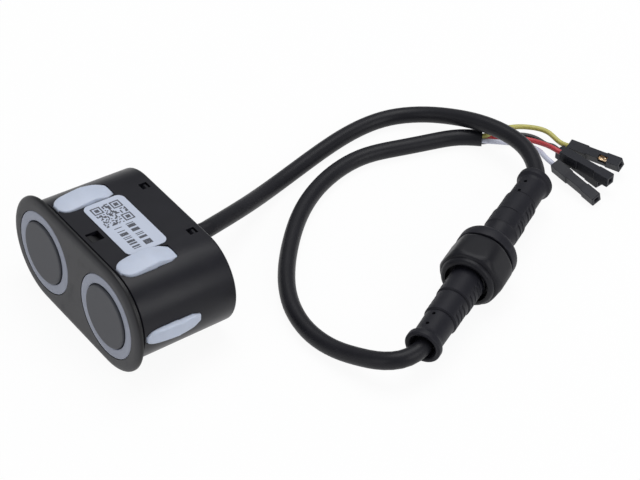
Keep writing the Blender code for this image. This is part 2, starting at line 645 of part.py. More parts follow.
# --- the connector ----------------------------------------------------------------------------------
def boot_profile(length):
    """A moulded boot's outside from its cable end inward, as (radius, distance) pairs, mouth first."""
    rounding = BOOT_ROUNDING
    width, depth = NECK_GROOVE
    return [
        (0.0, MOUTH_DEPTH), (CABLE_RADIUS + 3 * FIT, MOUTH_DEPTH), (MOUTH_RADIUS, MOUTH_DEPTH * 0.5),
        (MOUTH_RADIUS + rounding / 2, 0.0), (COLLAR_RADIUS - rounding, 0.0), (COLLAR_RADIUS, rounding),
        (COLLAR_RADIUS, BOOT_COLLAR_LENGTH - rounding), (COLLAR_RADIUS - rounding, BOOT_COLLAR_LENGTH),
        (NECK_RADIUS + FIT, BOOT_COLLAR_LENGTH + rounding), (NECK_RADIUS, NECK_END - width),
        (NECK_RADIUS - depth, NECK_END - width), (NECK_RADIUS - depth, NECK_END), (STEP_RADIUS, NECK_END),
        (STEP_RADIUS, STEP_END - FIT), (GRIP_RADIUS, STEP_END), (GRIP_RADIUS, length),
    ]


def grip_notches(station, length):
    """The notches let into both sides of a boot's grip, from STEP_END to the boot's length."""
    count = int((length - STEP_END - NOTCH_WIDTH) / NOTCH_PITCH)
    notches = []
    for index in range(count):
        near = STEP_END + NOTCH_WIDTH + index * NOTCH_PITCH
        low, high = sorted((station(near), station(near + NOTCH_WIDTH)))
        for side in (1, -1):
            inner, outer = sorted((side * NOTCH_FLAT, side * (GRIP_RADIUS + MM)))
            notches.append(box("notch", (-GRIP_RADIUS, inner, low), (GRIP_RADIUS, outer, high)))
    return notches


def peg_holes(station):
    """The two moulding-peg holes on a boot's top."""
    holes = []
    for distance in PEG_HOLES:
        hole = rod("hole", PEG_HOLE_RADIUS, NECK_RADIUS - PEG_HOLE_DEPTH, NECK_RADIUS + MM, TINY_ROUND)
        turn = Matrix.Translation((0.0, 0.0, station(distance))) @ Matrix.Rotation(math.radians(90), 4, "Y")
        holes.append(transform(hole, turn))
    return holes


def contact_places():
    """The four contacts' places round the connector's axis."""
    angles = [math.radians(45 + 90 * index) for index in range(4)]
    return [(CONTACT_CIRCLE * math.cos(angle), CONTACT_CIRCLE * math.sin(angle)) for angle in angles]


def make_socket_half(parent):
    """The fixed half: boot with its domed collar, threaded nose and four socket contacts."""
    station = boot_stations(SOCKET_END, 1)
    nose_start = DOME_END + FIT
    cavity = THREAD_RADIUS - 3 * FIT
    cavity_end = DOME_END - CAVITY_DEPTH
    core_start = nose_start - CORE_LENGTH
    rim_start = DOME_END - DOME_RIM
    profile = [(radius, station(distance)) for radius, distance in boot_profile(DOME_START - SOCKET_END)]
    profile += arc((GRIP_RADIUS, rim_start), (DOME_RADIUS - GRIP_RADIUS, rim_start - DOME_START), -90, 0, 5)[1:]
    profile += [(DOME_RADIUS, DOME_END), (cavity + FIT, DOME_END), (cavity + FIT, cavity_end - FIT),
                (CORE_RADIUS + FIT, cavity_end - FIT), (CORE_RADIUS + FIT, core_start - FIT),
                (0.0, core_start - FIT)]
    body = turned("socket_body", profile, BOOT_ROUND)
    cut(body, peg_holes(station) + grip_notches(station, DOME_START - SOCKET_END))
    pieces = [finish(body, BLACK_RUBBER, parent)]
    nose_end = nose_start + THREAD_LENGTH
    outside, inside = SHROUD_RADIUS + FIT, SHROUD_RADIUS - SHROUD_WALL - FIT
    insert = turned("socket_insert", [
        (0.0, core_start), (CORE_RADIUS, core_start), (CORE_RADIUS, cavity_end), (cavity, cavity_end),
        (cavity, nose_start), (THREAD_RADIUS, nose_start), (THREAD_RADIUS, nose_end), (outside, nose_end),
        (outside, nose_start + NOSE_FLOOR), (inside, nose_start + NOSE_FLOOR), (inside, nose_end - NOSE_FLOOR),
        (0.0, nose_end - NOSE_FLOOR)], BOOT_ROUND)
    contact_floor = core_start + CONTACT_SEAT
    bores = [rod("bore", CONTACT_RADIUS + FIT / 2, contact_floor, nose_end, TINY_ROUND, centre)
             for centre in contact_places()]
    cut(insert, bores)
    pieces.append(finish(insert, BLACK_PLASTIC, parent))
    for index, centre in enumerate(contact_places()):
        start, end = contact_floor + FIT, nose_end - NOSE_FLOOR - FIT
        rings = [circle(CONTACT_RADIUS, start, TINY_ROUND, centre), circle(CONTACT_RADIUS, end, TINY_ROUND, centre),
                 circle(PIN_RADIUS + FIT / 2, end, TINY_ROUND, centre),
                 circle(PIN_RADIUS + FIT / 2, start + MM, TINY_ROUND, centre)]
        contact = skin(f"socket_contact_{index + 1}", rings)
        pieces.append(finish(contact, GOLD, parent))
    return pieces


def make_plug_half(parent):
    """The half that pulls off: boot with its shoulder, shroud, seal and four pins."""
    station = boot_stations(PLUG_END, -1)
    shoulder_end = SHOULDER_START + SHOULDER_LENGTH
    pocket = SHOULDER_START + SHROUD_BASE
    core_end = SHOULDER_START + CORE_LENGTH
    profile = [(radius, station(distance)) for radius, distance in boot_profile(PLUG_END - shoulder_end)]
    profile += [(SHOULDER_RADIUS, shoulder_end), (SHOULDER_RADIUS, SHOULDER_START),
                (SHROUD_RADIUS + FIT, SHOULDER_START), (SHROUD_RADIUS + FIT, pocket + FIT),
                (CORE_RADIUS + FIT, pocket + FIT), (CORE_RADIUS + FIT, core_end + FIT), (0.0, core_end + FIT)]
    body = turned("plug_body", profile, BOOT_ROUND)
    cut(body, peg_holes(station) + grip_notches(station, PLUG_END - shoulder_end))
    pieces = [finish(body, BLACK_RUBBER, parent)]
    shroud_tip = DOME_END + FIT + NOSE_FLOOR + 2 * FIT
    base = SHOULDER_START - PLUG_FLOOR
    inside = SHROUD_RADIUS - SHROUD_WALL
    insert = turned("plug_insert", [
        (0.0, base), (inside, base), (inside, shroud_tip), (SHROUD_RADIUS, shroud_tip), (SHROUD_RADIUS, pocket),
        (CORE_RADIUS, pocket), (CORE_RADIUS, core_end), (0.0, core_end)], BOOT_ROUND)
    pin_end = base + PIN_SEAT
    bores = [rod("bore", PIN_RADIUS + FIT / 2, base - MM, pin_end + FIT, TINY_ROUND, centre)
             for centre in contact_places()]
    cut(insert, bores)
    pieces.append(finish(insert, BLACK_PLASTIC, parent))
    for index, centre in enumerate(contact_places()):
        tip = pin_end - PIN_LENGTH
        rings = [circle(PIN_RADIUS * 0.5, tip, TINY_ROUND, centre),
                 circle(PIN_RADIUS, tip + PIN_RADIUS, TINY_ROUND, centre),
                 circle(PIN_RADIUS, pin_end, TINY_ROUND, centre)]
        pieces.append(finish(skin(f"plug_pin_{index + 1}", rings), GOLD, parent))
    seal_middle = SHOULDER_START - FIT - SEAL_RADIUS
    section = arc((SHROUD_RADIUS + FIT + SEAL_RADIUS, seal_middle), (SEAL_RADIUS, SEAL_RADIUS), 0, 300, 5)
    pieces.append(finish(turned("seal_ring", section, BOOT_ROUND, closed=True), WHITE_SILICONE, parent))
    return pieces


def nut_ring(station, limit):
    """The nut's outside at a station: six flats, kept within a circle of the given radius."""
    ring = []
    for index in range(NUT_ROUND):
        angle = 2 * math.pi * index / NUT_ROUND
        from_flat = (angle + math.pi / 6) % (math.pi / 3) - math.pi / 6
        radius = min(NUT_FLAT / math.cos(from_flat), limit)
        ring.append(Vector((radius * math.cos(angle), radius * math.sin(angle), station)))
    return ring


def make_nut(parent):
    """The coupling nut: six flats with turned ends, a rim and the lip that draws the plug half."""
    end = NUT_START + NUT_LENGTH
    flats_end = end - NUT_RIM_LENGTH
    turned_end = NUT_RIM_RADIUS + FIT
    outside = [nut_ring(NUT_START, turned_end), nut_ring(NUT_START + NUT_FRONT_CHAMFER, NUT_RADIUS),
               nut_ring(flats_end - NUT_REAR_CHAMFER, NUT_RADIUS),
               nut_ring(flats_end - NUT_REAR_CHAMFER / 2, (NUT_FLAT + NUT_RADIUS) / 2),
               nut_ring(flats_end, turned_end)]
    run = [(NUT_RIM_RADIUS, flats_end), (NUT_RIM_RADIUS, end - 2 * FIT), (NUT_RIM_RADIUS - 2 * FIT, end),
           (NUT_RECESS_RADIUS, end), (NUT_RECESS_RADIUS, flats_end), (GRIP_RADIUS + 2 * FIT, flats_end),
           (GRIP_RADIUS + 2 * FIT, flats_end - NUT_LIP_LENGTH), (THREAD_RADIUS + FIT, flats_end - NUT_LIP_LENGTH),
           (THREAD_RADIUS + FIT, NUT_START)]
    rings = outside + [circle(radius, station, NUT_ROUND) for radius, station in run]
    nut = skin("coupling_nut", rings, closed=True)
    return finish(nut, BLACK_PLASTIC, parent)


def connector_matrix():
    """The connector's frame on the bench: Z along its axis, X up, lying on its nut."""
    along = Vector((math.cos(CONNECTOR_HEADING), math.sin(CONNECTOR_HEADING), 0.0))
    up = Vector((0.0, 0.0, 1.0))
    turn = Matrix((up, along.cross(up), along)).transposed().to_4x4()
    return Matrix.Translation((*CONNECTOR_ORIGIN, NUT_FLAT)) @ turn


def make_connector():
    """Both halves and the nut in the connector's frame."""
    parent = frame("connector_frame", connector_matrix())
    fixed = make_socket_half(parent)
    moving = make_plug_half(parent) + [make_nut(parent)]
    return parent, fixed + moving


# --- cables and wires -------------------------------------------------------------------------------
def smooth_curve(points, spacing):
    """Points at an even spacing on a natural cubic spline through the route's own points."""
    route = np.array([tuple(point) for point in points])
    knots = np.concatenate(([0.0], np.cumsum(np.linalg.norm(np.diff(route, axis=0), axis=1))))
    count = len(route)
    gaps = np.diff(knots)
    system = np.eye(count)
    right = np.zeros((count, 3))
    for index in range(1, count - 1):
        before, after = gaps[index - 1], gaps[index]
        system[index, index - 1:index + 2] = (before, 2 * (before + after), after)
        slope_after = (route[index + 1] - route[index]) / after
        slope_before = (route[index] - route[index - 1]) / before
        right[index] = 6 * (slope_after - slope_before)
    bend = np.linalg.solve(system, right)
    steps = max(2, round(knots[-1] / spacing))
    result = []
    for value in np.linspace(0.0, knots[-1], steps + 1):
        index = min(np.searchsorted(knots, value, side="right") - 1, count - 2)
        gap = gaps[index]
        far, near = (value - knots[index]) / gap, (knots[index + 1] - value) / gap
        curve = near * route[index] + far * route[index + 1]
        curve += ((near ** 3 - near) * bend[index] + (far ** 3 - far) * bend[index + 1]) * gap * gap / 6
        result.append(Vector(curve))
    return result


def tube(name, route, radius, step, look, parent, before=(), after=()):
    """A round cord along a smooth route, with filled ends and straight runs before and after it."""
    points = list(before) + smooth_curve(route, step * 2 * radius) + list(after)
    data = bpy.data.curves.new(name, "CURVE")
    data.dimensions = "3D"
    data.bevel_depth = radius
    data.bevel_resolution = 2
    data.use_fill_caps = True
    spline = data.splines.new("POLY")
    spline.points.add(len(points) - 1)
    for target, point in zip(spline.points, points):
        target.co = (*point, 1.0)
    made = bpy.data.objects.new(name, data)
    bpy.context.scene.collection.objects.link(made)
    length = sum((b - a).length for a, b in zip(points, points[1:]))
    print(f"{name}: {length / MM:.1f} mm long, {len(points)} points")
    return finish(made, look, parent)


def on_bench(points):
    """A route in millimetres as vectors in metres."""
    return [Vector(point) * MM for point in points]


def crimp_matrix(colour):
    """Where a crimp housing lies: X runs from its wire end to its open end."""
    place, (yaw, pitch, roll) = CRIMP_PLACES[colour]
    turn = Matrix.Rotation(math.radians(yaw), 4, "Z") @ Matrix.Rotation(math.radians(pitch), 4, "Y")
    return Matrix.Translation(Vector(place) * MM) @ turn @ Matrix.Rotation(math.radians(roll), 4, "X")


def make_sensor_cable(head, connector, parent):
    """The cable from the head's grommet over the lead's wires into the socket half."""
    out = BODY_DEPTH + FIT + GROMMET_LENGTH + SEAT_GAP
    start = [head.matrix_world @ Vector((0.0, out + step, 0.0)) for step in (0.0, STRAIGHT_OUT)]
    floor = SOCKET_END + MOUTH_DEPTH - SEAT_GAP
    end = [connector.matrix_world @ Vector((0.0, 0.0, station)) for station in (SOCKET_END - SEAT_GAP, floor)]
    route = start[1:] + on_bench(SENSOR_CABLE_ROUTE) + end[:1]
    return tube("sensor_cable", route, CABLE_RADIUS, CORD_STEP, BLACK_RUBBER, parent, start[:1], end[1:])


def make_lead_cable(connector, parent):
    """The cable from the plug half round to its cut jacket end."""
    floor = PLUG_END - MOUTH_DEPTH + SEAT_GAP
    start = [connector.matrix_world @ Vector((0.0, 0.0, station)) for station in (floor, PLUG_END + SEAT_GAP)]
    route = start[1:] + on_bench(LEAD_CABLE_ROUTE)
    return tube("lead_cable", route, CABLE_RADIUS, CORD_STEP, BLACK_RUBBER, parent, start[:1])


def make_wires(parent):
    """The four wires from the jacket's end, each to its own crimp housing."""
    jacket = on_bench(LEAD_CABLE_ROUTE[-2:])
    heading = (jacket[1] - jacket[0]).normalized()
    right = heading.cross(Vector((0.0, 0.0, 1.0)))
    up = right.cross(heading)
    pieces = []
    for colour, (sideways, upward) in WIRE_STARTS.items():
        begin = jacket[1] + heading * SEAT_GAP + (right * sideways + up * upward) * WIRE_HALF_PITCH
        back = crimp_matrix(colour)
        end = [back @ Vector((-distance, 0.0, 0.0)) for distance in (CRIMP_LEAD, SEAT_GAP)]
        route = [begin, begin + heading * WIRE_LEAD] + on_bench(WIRE_ROUTES[colour]) + end
        pieces.append(tube(f"{colour}_wire", route, WIRE_RADIUS, WIRE_STEP, WIRE_COLOURS[colour], parent))
    return pieces


def make_crimp(colour, parent):
    """One single-way crimp housing with its latch window, and the terminal inside it."""
    half, bore = CRIMP_SIDE / 2, CRIMP_BORE / 2
    chamfer = CRIMP_CHAMFER
    outer = []
    for along, shrink in ((0.0, chamfer), (chamfer, 0.0), (CRIMP_LENGTH - chamfer, 0.0), (CRIMP_LENGTH, chamfer)):
        side = half - shrink
        outer.append([Vector((along, y * side, z * side)) for y, z in ((-1, -1), (1, -1), (1, 1), (-1, 1))])
    housing = skin(f"{colour}_crimp_housing", outer)
    window_end = CRIMP_WINDOW_START + CRIMP_WINDOW[0]
    across = CRIMP_WINDOW[1] / 2
    tools = [box("bore", (-MM, -bore, -bore), (CRIMP_LENGTH + MM, bore, bore)),
             box("window", (CRIMP_WINDOW_START, -across, 0.0), (window_end, across, CRIMP_SIDE))]
    cut(housing, tools)
    side = TERMINAL_SIDE / 2
    hole = TERMINAL_BORE / 2
    front = CRIMP_LENGTH - TERMINAL_INSET
    back = front - TERMINAL_LENGTH
    barrel_end = back - TERMINAL_NECK
    terminal = box(f"{colour}_crimp_terminal", (back, -side, -side), (front, side, side))
    neck = box("neck", (barrel_end - MM, -side * 0.6, -side), (back + MM, side * 0.6, -side * 0.3))
    barrel = box("barrel", (TERMINAL_BARREL_START, -side * 0.9, -side), (barrel_end, side * 0.9, side * 0.8))
    fuse(terminal, [neck, barrel])
    cut(terminal, [box("hole", (front - TERMINAL_BORE_DEPTH, -hole, -hole), (front + MM, hole, hole))])
    pieces = []
    for piece, look in ((housing, BLACK_PLASTIC), (terminal, GOLD)):
        piece.matrix_world = crimp_matrix(colour)
        pieces.append(finish(piece, look, parent))
    return pieces


def lowest_middle(pieces):
    """The middle of the head's bounding box in plan."""
    bpy.context.view_layer.update()
    corners = [piece.matrix_world @ vertex.co for piece in pieces for vertex in piece.data.vertices]
    middle = [(min(c[axis] for c in corners) + max(c[axis] for c in corners)) / 2 for axis in (0, 1)]
    return Vector((middle[0], middle[1], min(c[2] for c in corners)))


def main():
    """Builds every piece, then moves the bench so that the origin is under the head's middle."""
    for old in list(bpy.data.objects):
        bpy.data.objects.remove(old)
    head, head_pieces = make_head()
    connector, _ = make_connector()
    bench = frame("bench", Matrix.Identity(4))
    bpy.context.view_layer.update()
    make_sensor_cable(head, connector, bench)
    make_lead_cable(connector, bench)
    make_wires(bench)
    for colour in WIRE_STARTS:
        make_crimp(colour, bench)
    middle = lowest_middle(head_pieces)
    for assembly in (head, connector, bench):
        assembly.matrix_world = Matrix.Translation(-middle) @ assembly.matrix_world
    print("bench shift in mm:", [round(-value / MM, 4) for value in middle])


main()
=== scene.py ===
"""Looks for an ultrasonic distance sensor: its head, cable, screw-coupled connector and lead.

Three frames are used. The head's frame has X along its long side, Y from the front face to the back, Z up.
The connector's frame has Z along its axis, from the sensor's cable to the lead, and X up.
Routes are on the bench, in millimetres, with the front face over the bench's origin.
"""
from __future__ import annotations

import logging
import math
from abc import ABC, abstractmethod
from dataclasses import dataclass, field
from enum import Enum
from typing import Any, Callable, Iterable, Sequence

import bmesh
import bpy
import numpy as np
from mathutils import Matrix, Vector


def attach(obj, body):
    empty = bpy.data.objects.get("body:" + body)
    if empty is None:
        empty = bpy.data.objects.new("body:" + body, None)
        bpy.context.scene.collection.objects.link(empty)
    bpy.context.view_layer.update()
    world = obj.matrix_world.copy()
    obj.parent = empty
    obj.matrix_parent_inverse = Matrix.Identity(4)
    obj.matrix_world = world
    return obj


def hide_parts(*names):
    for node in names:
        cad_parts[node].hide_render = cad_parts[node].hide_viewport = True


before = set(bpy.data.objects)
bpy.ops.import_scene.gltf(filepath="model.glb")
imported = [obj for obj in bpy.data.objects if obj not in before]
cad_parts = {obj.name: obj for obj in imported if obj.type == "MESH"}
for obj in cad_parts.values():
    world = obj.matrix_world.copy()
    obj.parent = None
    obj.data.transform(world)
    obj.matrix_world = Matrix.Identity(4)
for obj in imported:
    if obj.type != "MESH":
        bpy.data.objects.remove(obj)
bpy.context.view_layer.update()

LOG = logging.getLogger("sensor")
MM = 0.001
SOFT_ANGLE = math.radians(35)
SHARP_ANGLE = math.radians(38)
Piece = bpy.types.Object
Ring = list[Vector]
Pair = tuple[float, float]
Triple = tuple[float, float, float]
Colour = Triple
Inputs = dict[int | str, Any]

BENCH_SHIFT = 13.4698 * MM
HEAD_TILT = math.radians(4.3987)
HEAD_HEIGHT = 12.7585 * MM
CONNECTOR_FOOT = (28.44 * MM, 103.99 * MM)
CONNECTOR_HEADING = math.radians(-64.18)
NUT_FLAT = 6.85 * MM


class Body(Enum):
    """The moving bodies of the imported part."""

    SENSOR = "sensor"
    PLUG = "plug_half"
    NUT = "nut"


def head_place() -> Matrix:
    """The head's frame: nose up, on its front rim and its lower pads."""
    return Matrix.Translation((0.0, -BENCH_SHIFT, HEAD_HEIGHT)) @ Matrix.Rotation(-HEAD_TILT, 4, "X")


def connector_place() -> Matrix:
    """The connector's frame, lying on a flat of its nut."""
    along = Vector((math.cos(CONNECTOR_HEADING), math.sin(CONNECTOR_HEADING), 0.0))
    up = Vector((0.0, 0.0, 1.0))
    turn = Matrix((up, along.cross(up), along)).transposed().to_4x4()
    return Matrix.Translation((CONNECTOR_FOOT[0], CONNECTOR_FOOT[1] - BENCH_SHIFT, NUT_FLAT)) @ turn


# --- shader maths -----------------------------------------------------------------------------------
def operator(operation: str, reflected: bool = False) -> Callable[..., Signal]:
    """A method that adds one Math node.

    Args:
        operation: the node's operation.
        reflected: whether the other value comes first.

    Returns:
        The method.
    """
    def method(self: Signal, other: Value = 0.0) -> Signal:
        """The operation's result."""
        first, second = (other, self) if reflected else (self, other)
        return self.nodes.make("ShaderNodeMath", {"operation": operation}, {0: first, 1: second})

    return method


class Signal:
    """A node's output that takes part in arithmetic; its operators and floor, larger add Math nodes."""

    def __init__(self, nodes: Nodes, socket: bpy.types.NodeSocket) -> None:
        """Args: nodes: the material's nodes. socket: the output."""
        self.nodes = nodes
        self.socket = socket

    __add__ = __radd__ = operator("ADD")
    __mul__ = __rmul__ = operator("MULTIPLY")
    __sub__ = operator("SUBTRACT")
    __rsub__ = operator("SUBTRACT", reflected=True)
    __truediv__ = operator("DIVIDE")
    __gt__ = operator("GREATER_THAN")
    __lt__ = operator("LESS_THAN")
    __abs__ = operator("ABSOLUTE")
    floor = operator("FLOOR")
    larger = operator("MAXIMUM")

    def step(self, low: float, high: float) -> Signal:
        """0 below low, 1 above high and smooth between them."""
        inputs = {"Value": self, "From Min": low, "From Max": high}
        return self.nodes.make("ShaderNodeMapRange", {"interpolation_type": "SMOOTHSTEP"}, inputs)

    def between(self, low: float, high: float) -> Signal:
        """1 between two values."""
        return (self > low) * (self < high)


Value = Signal | float
Paint = Signal | Colour


class Nodes:
    """The nodes of one material, round its Principled shader."""

    def __init__(self, name: str) -> None:
        """Args: name: the material's name."""
        self.material = bpy.data.materials.new(name)
        self.material.use_nodes = True
        self.tree = self.material.node_tree
        self.shader = self.tree.nodes["Principled BSDF"]
        self.place = self.make("ShaderNodeTexCoord", {}, {}, "Object")

    def make(self, kind: str, settings: dict[str, Any], inputs: Inputs, output: int | str = 0) -> Signal:
        """Adds a node.

        Args:
            kind: the node's type.
            settings: its own properties, set first.
            inputs: values or signals of its sockets, by index or name.
            output: the output that is wanted, by index or name.

        Returns:
            That output.
        """
        node = self.tree.nodes.new(kind)
        for key, value in settings.items():
            setattr(node, key, value)
        for key, value in inputs.items():
            self.feed(node.inputs[key], value)
        return Signal(self, node.outputs[output])

    def feed(self, socket: bpy.types.NodeSocket, value: Any) -> None:
        """Links a signal to a socket, or sets the socket's value."""
        if isinstance(value, Signal):
            self.tree.links.new(value.socket, socket)
        elif isinstance(value, tuple) and len(value) == 3 and socket.type == "RGBA":
            socket.default_value = (*value, 1.0)
        else:
            socket.default_value = value

    def axis(self, name: str) -> Signal:
        """One coordinate of the piece's own frame, in metres."""
        return self.make("ShaderNodeSeparateXYZ", {}, {0: self.place}, name)

    def noise(self, size: float, detail: float = 2.0, stretch: Triple = (1.0, 1.0, 1.0)) -> Signal:
        """Noise from 0 to 1.

        Args:
            size: size of its blots in metres.
            detail: how many finer layers it has.
            stretch: factors on the three coordinates.

        Returns:
            The noise.
        """
        place = self.make("ShaderNodeVectorMath", {"operation": "MULTIPLY"}, {0: self.place, 1: stretch})
        return self.make("ShaderNodeTexNoise", {}, {"Vector": place, "Scale": 1.0 / size, "Detail": detail})

    def chance(self, across: Value, along: Value) -> Signal:
        """A number from 0 to 1 for each cell of a grid."""
        corner = self.make("ShaderNodeCombineXYZ", {}, {0: across, 1: along})
        return self.make("ShaderNodeTexWhiteNoise", {"noise_dimensions": "3D"}, {"Vector": corner})

    def mix(self, factor: Value, first: Paint, second: Paint) -> Signal:
        """A colour between two others."""
        return self.make("ShaderNodeMix", {"data_type": "RGBA"}, {0: factor, 6: first, 7: second}, 2)

    def bump(self, height: Signal, depth: float, below: Signal | None = None) -> Signal:
        """A bumped normal.

        Args:
            height: relief from 0 to 1.
            depth: its depth in metres.
            below: another bumped normal that this one lies on.

        Returns:
            The normal.
        """
        inputs: Inputs = {"Height": height, "Distance": depth, "Strength": 1.0}
        if below:
            inputs["Normal"] = below
        return self.make("ShaderNodeBump", {}, inputs)

    def dress(self, **sockets: Any) -> None:
        """Feeds the Principled shader's sockets, named with _ for a space."""
        for name, value in sockets.items():
            self.feed(self.shader.inputs[name.replace("_", " ")], value)


# --- finishes ---------------------------------------------------------------------------------------
def tint(colour: Colour, factor: float) -> Colour:
    """A colour made lighter or darker."""
    return tuple(min(1.0, channel * factor) for channel in colour)


@dataclass(frozen=True)
class Finish(ABC):
    """A surface finish with its own nodes."""

    name: str

    @abstractmethod
    def build(self, nodes: Nodes) -> None:
        """Adds this finish's nodes."""

    def material(self) -> bpy.types.Material:
        """The finish's material, made once."""
        made = bpy.data.materials.get(self.name)
        if made is None:
            nodes = Nodes(self.name)
            self.build(nodes)
            made = nodes.material
        return made


@dataclass(frozen=True)
class MouldedPlastic(Finish):
    """Hard plastic with a fine sparked grain, soft clouding and a little handling wear."""

    colour: Colour
    roughness: float = 0.4
    grain: float = 0.004 * MM
    grain_size: float = 0.14 * MM
    wear: float = 0.5
    gloss: float = 0.25
    # edge: share of the colour kept on surfaces turned away from the front, as painted shade; 1.0 paints no
    # shade
    edge: float = 1.0

    def build(self, nodes: Nodes) -> None:
        """Grain in the normal, clouds in the colour, rubbed patches in the roughness, polished sides that are
        also darkened in colour as painted shade.
        """
        cloud = nodes.noise(7.0 * MM, 3.0)
        speck = nodes.noise(0.35 * MM, 1.0)
        rubbed = nodes.noise(3.0 * MM, 4.0, (1.0, 0.35, 1.0)).step(0.52, 0.72) * self.wear
        colour = nodes.mix(cloud, tint(self.colour, 0.82), tint(self.colour, 1.2))
        colour = nodes.mix(speck.step(0.66, 0.74) * 0.25, colour, tint(self.colour, 1.9))
        roughness = self.roughness + (cloud - 0.5) * 0.12 + rubbed * 0.12
        # Painted shade: surfaces turned away from the front are darkened towards edge times the colour, and
        # made a little less rough.
        if self.edge < 1.0:
            normal = nodes.make("ShaderNodeTexCoord", {}, {}, "Normal")
            facing = nodes.make("ShaderNodeVectorMath", {"operation": "DOT_PRODUCT"},
                                {0: normal, 1: (0.0, -1.0, 0.0)}, "Value").step(0.55, 0.97)
            colour = nodes.mix(facing, tint(self.colour, self.edge), colour)
            roughness = roughness - (1.0 - facing) * 0.12
        grain = nodes.bump(nodes.noise(self.grain_size, 2.0), self.grain)
        nodes.dress(Base_Color=colour, Roughness=roughness, Normal=grain, Specular_IOR_Level=self.gloss)


@dataclass(frozen=True)
class Silicone(Finish):
    """Cloudy silicone that lets a little light in and holds fine dust."""

    colour: Colour
    roughness: float = 0.5
    depth: float = 0.25
    scatter: float = 0.6 * MM

    def build(self, nodes: Nodes) -> None:
        """Soft mottling, dust specks and a fine moulded skin."""
        mottle = nodes.noise(2.4 * MM, 3.0)
        dust = nodes.noise(0.22 * MM, 1.0).step(0.68, 0.76) * 0.35
        colour = nodes.mix(mottle, tint(self.colour, 0.93), tint(self.colour, 1.06))
        colour = nodes.mix(dust, colour, tint(self.colour, 0.7))
        skin = nodes.bump(nodes.noise(0.5 * MM, 2.0), 0.006 * MM)
        nodes.dress(Base_Color=colour, Roughness=self.roughness + (mottle - 0.5) * 0.15, Normal=skin,
                    Subsurface_Weight=self.depth, Subsurface_Scale=self.scatter,
                    Subsurface_Radius=(1.0, 0.9, 0.8))


@dataclass(frozen=True)
class Rubber(Finish):
    """Dark moulded or drawn rubber, with flow lines along one axis."""

    colour: Colour
    roughness: float = 0.45
    flow: Triple = (1.0, 1.0, 1.0)
    relief: float = 0.012 * MM
    gloss: float = 0.22

    def build(self, nodes: Nodes) -> None:
        """Bloom in the colour, flow lines and pores in the normal."""
        bloom = nodes.noise(4.0 * MM, 4.0)
        pores = nodes.noise(0.25 * MM, 2.0)
        flow = nodes.noise(1.1 * MM, 2.0, self.flow)
        colour = nodes.mix(bloom, tint(self.colour, 0.8), tint(self.colour, 1.3))
        colour = nodes.mix(pores.step(0.64, 0.74) * 0.3, colour, tint(self.colour, 2.2))
        normal = nodes.bump(pores, self.relief * 0.4, nodes.bump(flow, self.relief))
        nodes.dress(Base_Color=colour, Roughness=self.roughness + (bloom - 0.5) * 0.16, Normal=normal,
                    Specular_IOR_Level=self.gloss)


@dataclass(frozen=True)
class Insulation(Finish):
    """Coloured wire insulation with a waxy gloss and scuffs along it."""

    colour: Colour
    roughness: float = 0.38

    def build(self, nodes: Nodes) -> None:
        """Faint streaks and darker scuffs."""
        streak = nodes.noise(0.9 * MM, 3.0)
        scuff = nodes.noise(0.4 * MM, 2.0).step(0.62, 0.75) * 0.35
        colour = nodes.mix(streak, tint(self.colour, 0.85), tint(self.colour, 1.12))
        colour = nodes.mix(scuff, colour, tint(self.colour, 0.55))
        normal = nodes.bump(nodes.noise(0.3 * MM, 2.0), 0.006 * MM)
        nodes.dress(Base_Color=colour, Roughness=self.roughness + (streak - 0.5) * 0.2, Normal=normal)


@dataclass(frozen=True)
class AnodisedFace(Finish):
    """The can's dark face: fine blasted metal under a matte skin."""

    colour: Colour
    roughness: float = 0.55

    def build(self, nodes: Nodes) -> None:
        """Blast grain and a faint haze."""
        grain = nodes.noise(0.09 * MM, 2.0)
        haze = nodes.noise(3.5 * MM, 2.0)
        colour = nodes.mix(haze, tint(self.colour, 0.94), tint(self.colour, 1.07))
        colour = nodes.mix(grain.step(0.55, 0.75) * 0.2, colour, tint(self.colour, 1.5))
        nodes.dress(Base_Color=colour, Roughness=self.roughness + (grain - 0.5) * 0.15, Metallic=0.25,
                    Normal=nodes.bump(grain, 0.003 * MM))


@dataclass(frozen=True)
class PlatedMetal(Finish):
    """Plated or drawn metal with slight tarnish."""

    colour: Colour
    tarnish: Colour
    roughness: float = 0.28

    def build(self, nodes: Nodes) -> None:
        """Tarnish clouds and fine draw lines."""
        cloud = nodes.noise(0.8 * MM, 4.0)
        lines = nodes.noise(0.12 * MM, 2.0, (6.0, 6.0, 0.6))
        colour = nodes.mix(cloud.step(0.45, 0.75) * 0.6, self.colour, self.tarnish)
        nodes.dress(Base_Color=colour, Metallic=1.0, Roughness=self.roughness + cloud * 0.15,
                    Normal=nodes.bump(lines, 0.003 * MM))


@dataclass(frozen=True)
class Fibre(Finish):
    """Pressed felt: short fibres every way."""

    colour: Colour

    def build(self, nodes: Nodes) -> None:
        """Fibres in the colour and the normal."""
        fibres = nodes.noise(0.18 * MM, 5.0, (1.0, 3.0, 1.0))
        colour = nodes.mix(fibres, tint(self.colour, 0.6), tint(self.colour, 1.4))
        nodes.dress(Base_Color=colour, Roughness=0.95, Sheen_Weight=0.4,
                    Normal=nodes.bump(fibres, 0.05 * MM))


